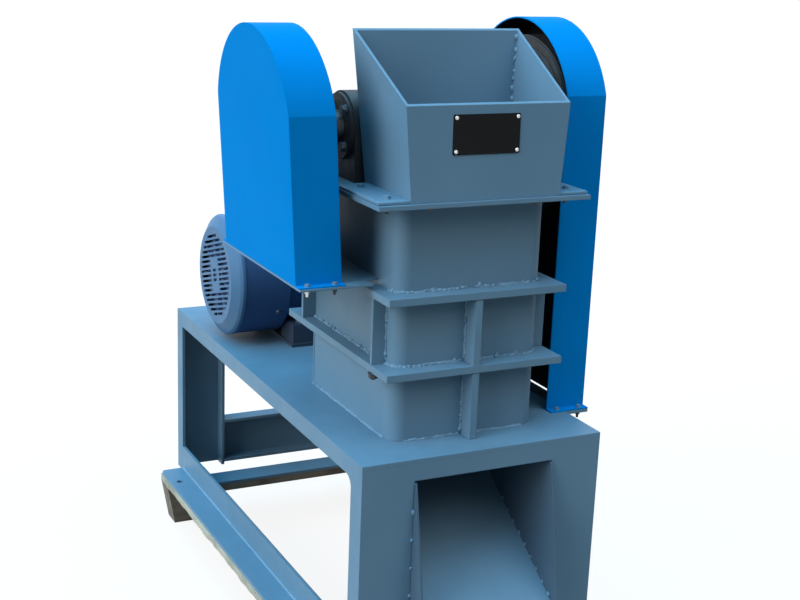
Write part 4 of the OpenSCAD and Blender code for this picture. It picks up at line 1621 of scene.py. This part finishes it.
@dataclass
class SkidEdges:
    """Worn, splintered outer edges of the two long skid boards."""

    bench: Bench
    wide: float = 5.0 * MM
    overhang: float = 2.4 * MM
    wear: float = 2.2 * MM
    drop: float = 1.1 * MM
    end_gap: float = 6.0 * MM
    cuts: int = 70
    seed: int = 4
    grit: Grit = Grit(0.3, 0.7, 0.4, 2, 35.0)

    def build(self) -> None:
        """Model the left board's worn edge and turn a copy round to the right board."""
        low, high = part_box("left_skid_board")
        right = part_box("right_skid_board")[1].x
        size = Vector((self.wide, high.y - low.y - 2 * self.end_gap, high.z - low.z))
        place = Vector((low.x - self.overhang + self.wide / 2, (low.y + high.y) / 2,
                        (low.z + high.z) / 2 - self.drop))
        edge = self.bench.block(size, place)
        self.bench.edit_edges(edge, lambda _, way: abs(way.y) > ALIGNED)
        bpy.ops.mesh.subdivide(number_cuts=self.cuts)
        self.bench.roughen(edge, self.wear, self.seed, self.grit)
        pivot = Vector(((low.x + right) / 2, place.y, 0.0))
        turn = Matrix.Rotation(math.pi, 4, "Z")
        move = Matrix.Translation(pivot) @ turn @ Matrix.Translation(-pivot)
        edges = self.bench.join([edge, self.bench.copy(edge, move)], "worn_board_edges")
        self.bench.dress(edges, BOARD_TIMBER, Slot.TIMBER)


@dataclass(frozen=True)
class Lamp:
    """Wide, soft lamp that lights the whole scene evenly from one direction."""

    name: str
    source: Triple
    spread: float
    power: float
    colour: Colour


@dataclass
class Studio:
    """Pale floor, soft light and the camera."""

    floor_size: float = 80.0
    floor_white: float = 0.87
    floor_colour: Colour = (0.145, 0.122, 0.108)
    ambient: float = 0.10
    lamps: tuple[Lamp, ...] = (
        Lamp("key from the left", (-0.90, -0.10, 0.36), 50.0, 2.60, (1.0, 0.99, 0.97)),
        Lamp("fill from the front", (0.25, -0.60, 0.85), 50.0, 1.10, (1.0, 0.98, 0.95)),
        Lamp("sky", (-0.22, 0.20, 1.0), 90.0, 4.8, (0.17, 0.66, 1.0)))
    lens: float = 62.0
    sensor: float = 36.0
    place: Triple = (-0.8554, -1.8407, 1.0396)
    right: Triple = (0.8982, -0.43797, 0.03755)
    up: Triple = (0.08258, 0.25201, 0.96419)

    def seen(self, tree: bpy.types.NodeTree) -> Socket:
        """Tell rays from the camera and through or off shiny pieces from the others.

        Args:
            tree: Node tree to add to.

        Returns:
            Value that is 1 for those rays and 0 for the others.
        """
        path = tree.nodes.new("ShaderNodeLightPath")
        value = path.outputs["Is Camera Ray"]
        for ray in ("Is Glossy Ray", "Is Transmission Ray"):
            larger = tree.nodes.new("ShaderNodeMath")
            larger.operation = "MAXIMUM"
            tree.links.new(value, larger.inputs[0])
            tree.links.new(path.outputs[ray], larger.inputs[1])
            value = larger.outputs[0]
        return value

    def scaled(self, tree: bpy.types.NodeTree, low: float, high: float) -> Socket:
        """Give seen rays one strength and the others another.

        Args:
            tree: Node tree to add to.
            low: Strength for the other rays.
            high: Strength for seen rays.

        Returns:
            The strength.
        """
        mapped = tree.nodes.new("ShaderNodeMapRange")
        mapped.inputs["To Min"].default_value = low
        mapped.inputs["To Max"].default_value = high
        tree.links.new(self.seen(tree), mapped.inputs["Value"])
        return mapped.outputs["Result"]

    def floor(self) -> None:
        """Lay a floor that looks nearly white and keeps a soft shadow."""
        bpy.ops.object.select_all(action="DESELECT")
        bpy.ops.mesh.primitive_plane_add(size=self.floor_size)
        ground = bpy.context.object
        ground.name = "floor"
        shader = Shader("pale floor")
        shader.set("Base Color", (*self.floor_colour, 1.0))
        shader.set("Roughness", 1.0)
        shader.set("Specular IOR Level", 0.0)
        shader.set("Emission Color", (1.0, 1.0, 1.0, 1.0))
        shader.drive("Emission Strength", self.scaled(shader.tree, 0.0, self.floor_white))
        ground.data.materials.append(shader.material)

    def world(self) -> None:
        """Surround the scene with even light that looks white to the camera."""
        world = bpy.data.worlds.new("studio")
        bpy.context.scene.world = world
        world.use_nodes = True
        tree = world.node_tree
        back = tree.nodes["Background"]
        back.inputs["Color"].default_value = (1.0, 1.0, 1.0, 1.0)
        tree.links.new(self.scaled(tree, self.ambient, 1.0), back.inputs["Strength"])

    def sun(self, lamp: Lamp) -> None:
        """Hang one lamp.

        Args:
            lamp: Its direction, width in degrees, strength and colour.
        """
        light = bpy.data.lights.new(lamp.name, "SUN")
        light.angle = math.radians(lamp.spread)
        light.energy = lamp.power
        light.color = lamp.colour
        hung = bpy.data.objects.new(lamp.name, light)
        hung.rotation_mode = "QUATERNION"
        hung.rotation_quaternion = (-Vector(lamp.source)).to_track_quat("-Z", "Y")
        bpy.context.scene.collection.objects.link(hung)

    def camera(self) -> None:
        """Set the camera where the machine is seen from."""
        data = bpy.data.cameras.new("camera")
        data.sensor_width = self.sensor
        data.lens = self.lens
        camera = bpy.data.objects.new("camera", data)
        right = Vector(self.right).normalized()
        back = right.cross(Vector(self.up)).normalized()
        turn = Matrix((right, back.cross(right), back)).transposed().to_4x4()
        camera.matrix_world = Matrix.Translation(Vector(self.place)) @ turn
        bpy.context.scene.collection.objects.link(camera)
        bpy.context.scene.camera = camera

    def build(self) -> None:
        """Set up floor, light and camera."""
        self.floor()
        self.world()
        for lamp in self.lamps:
            self.sun(lamp)
        self.camera()
        bpy.context.scene.view_settings.view_transform = "Standard"


def main() -> None:
    """Dress the solids, add the pieces that belong to the looks, and set the stage."""
    logging.basicConfig(level=logging.INFO, format="%(name)s: %(message)s")
    bench = Bench()
    tools = Fasteners(bench)
    solids = Solids(bench)
    solids.build()
    WeldSeams(bench).build()
    HopperFittings(bench, tools).build()
    GuardFittings(bench, tools, solids).build()
    BearingFittings(tools).build()
    MotorFittings(bench, tools).build()
    PulleyRings(bench).build()
    SkidEdges(bench).build()
    Studio().build()


if __name__ == "__main__":
    main()
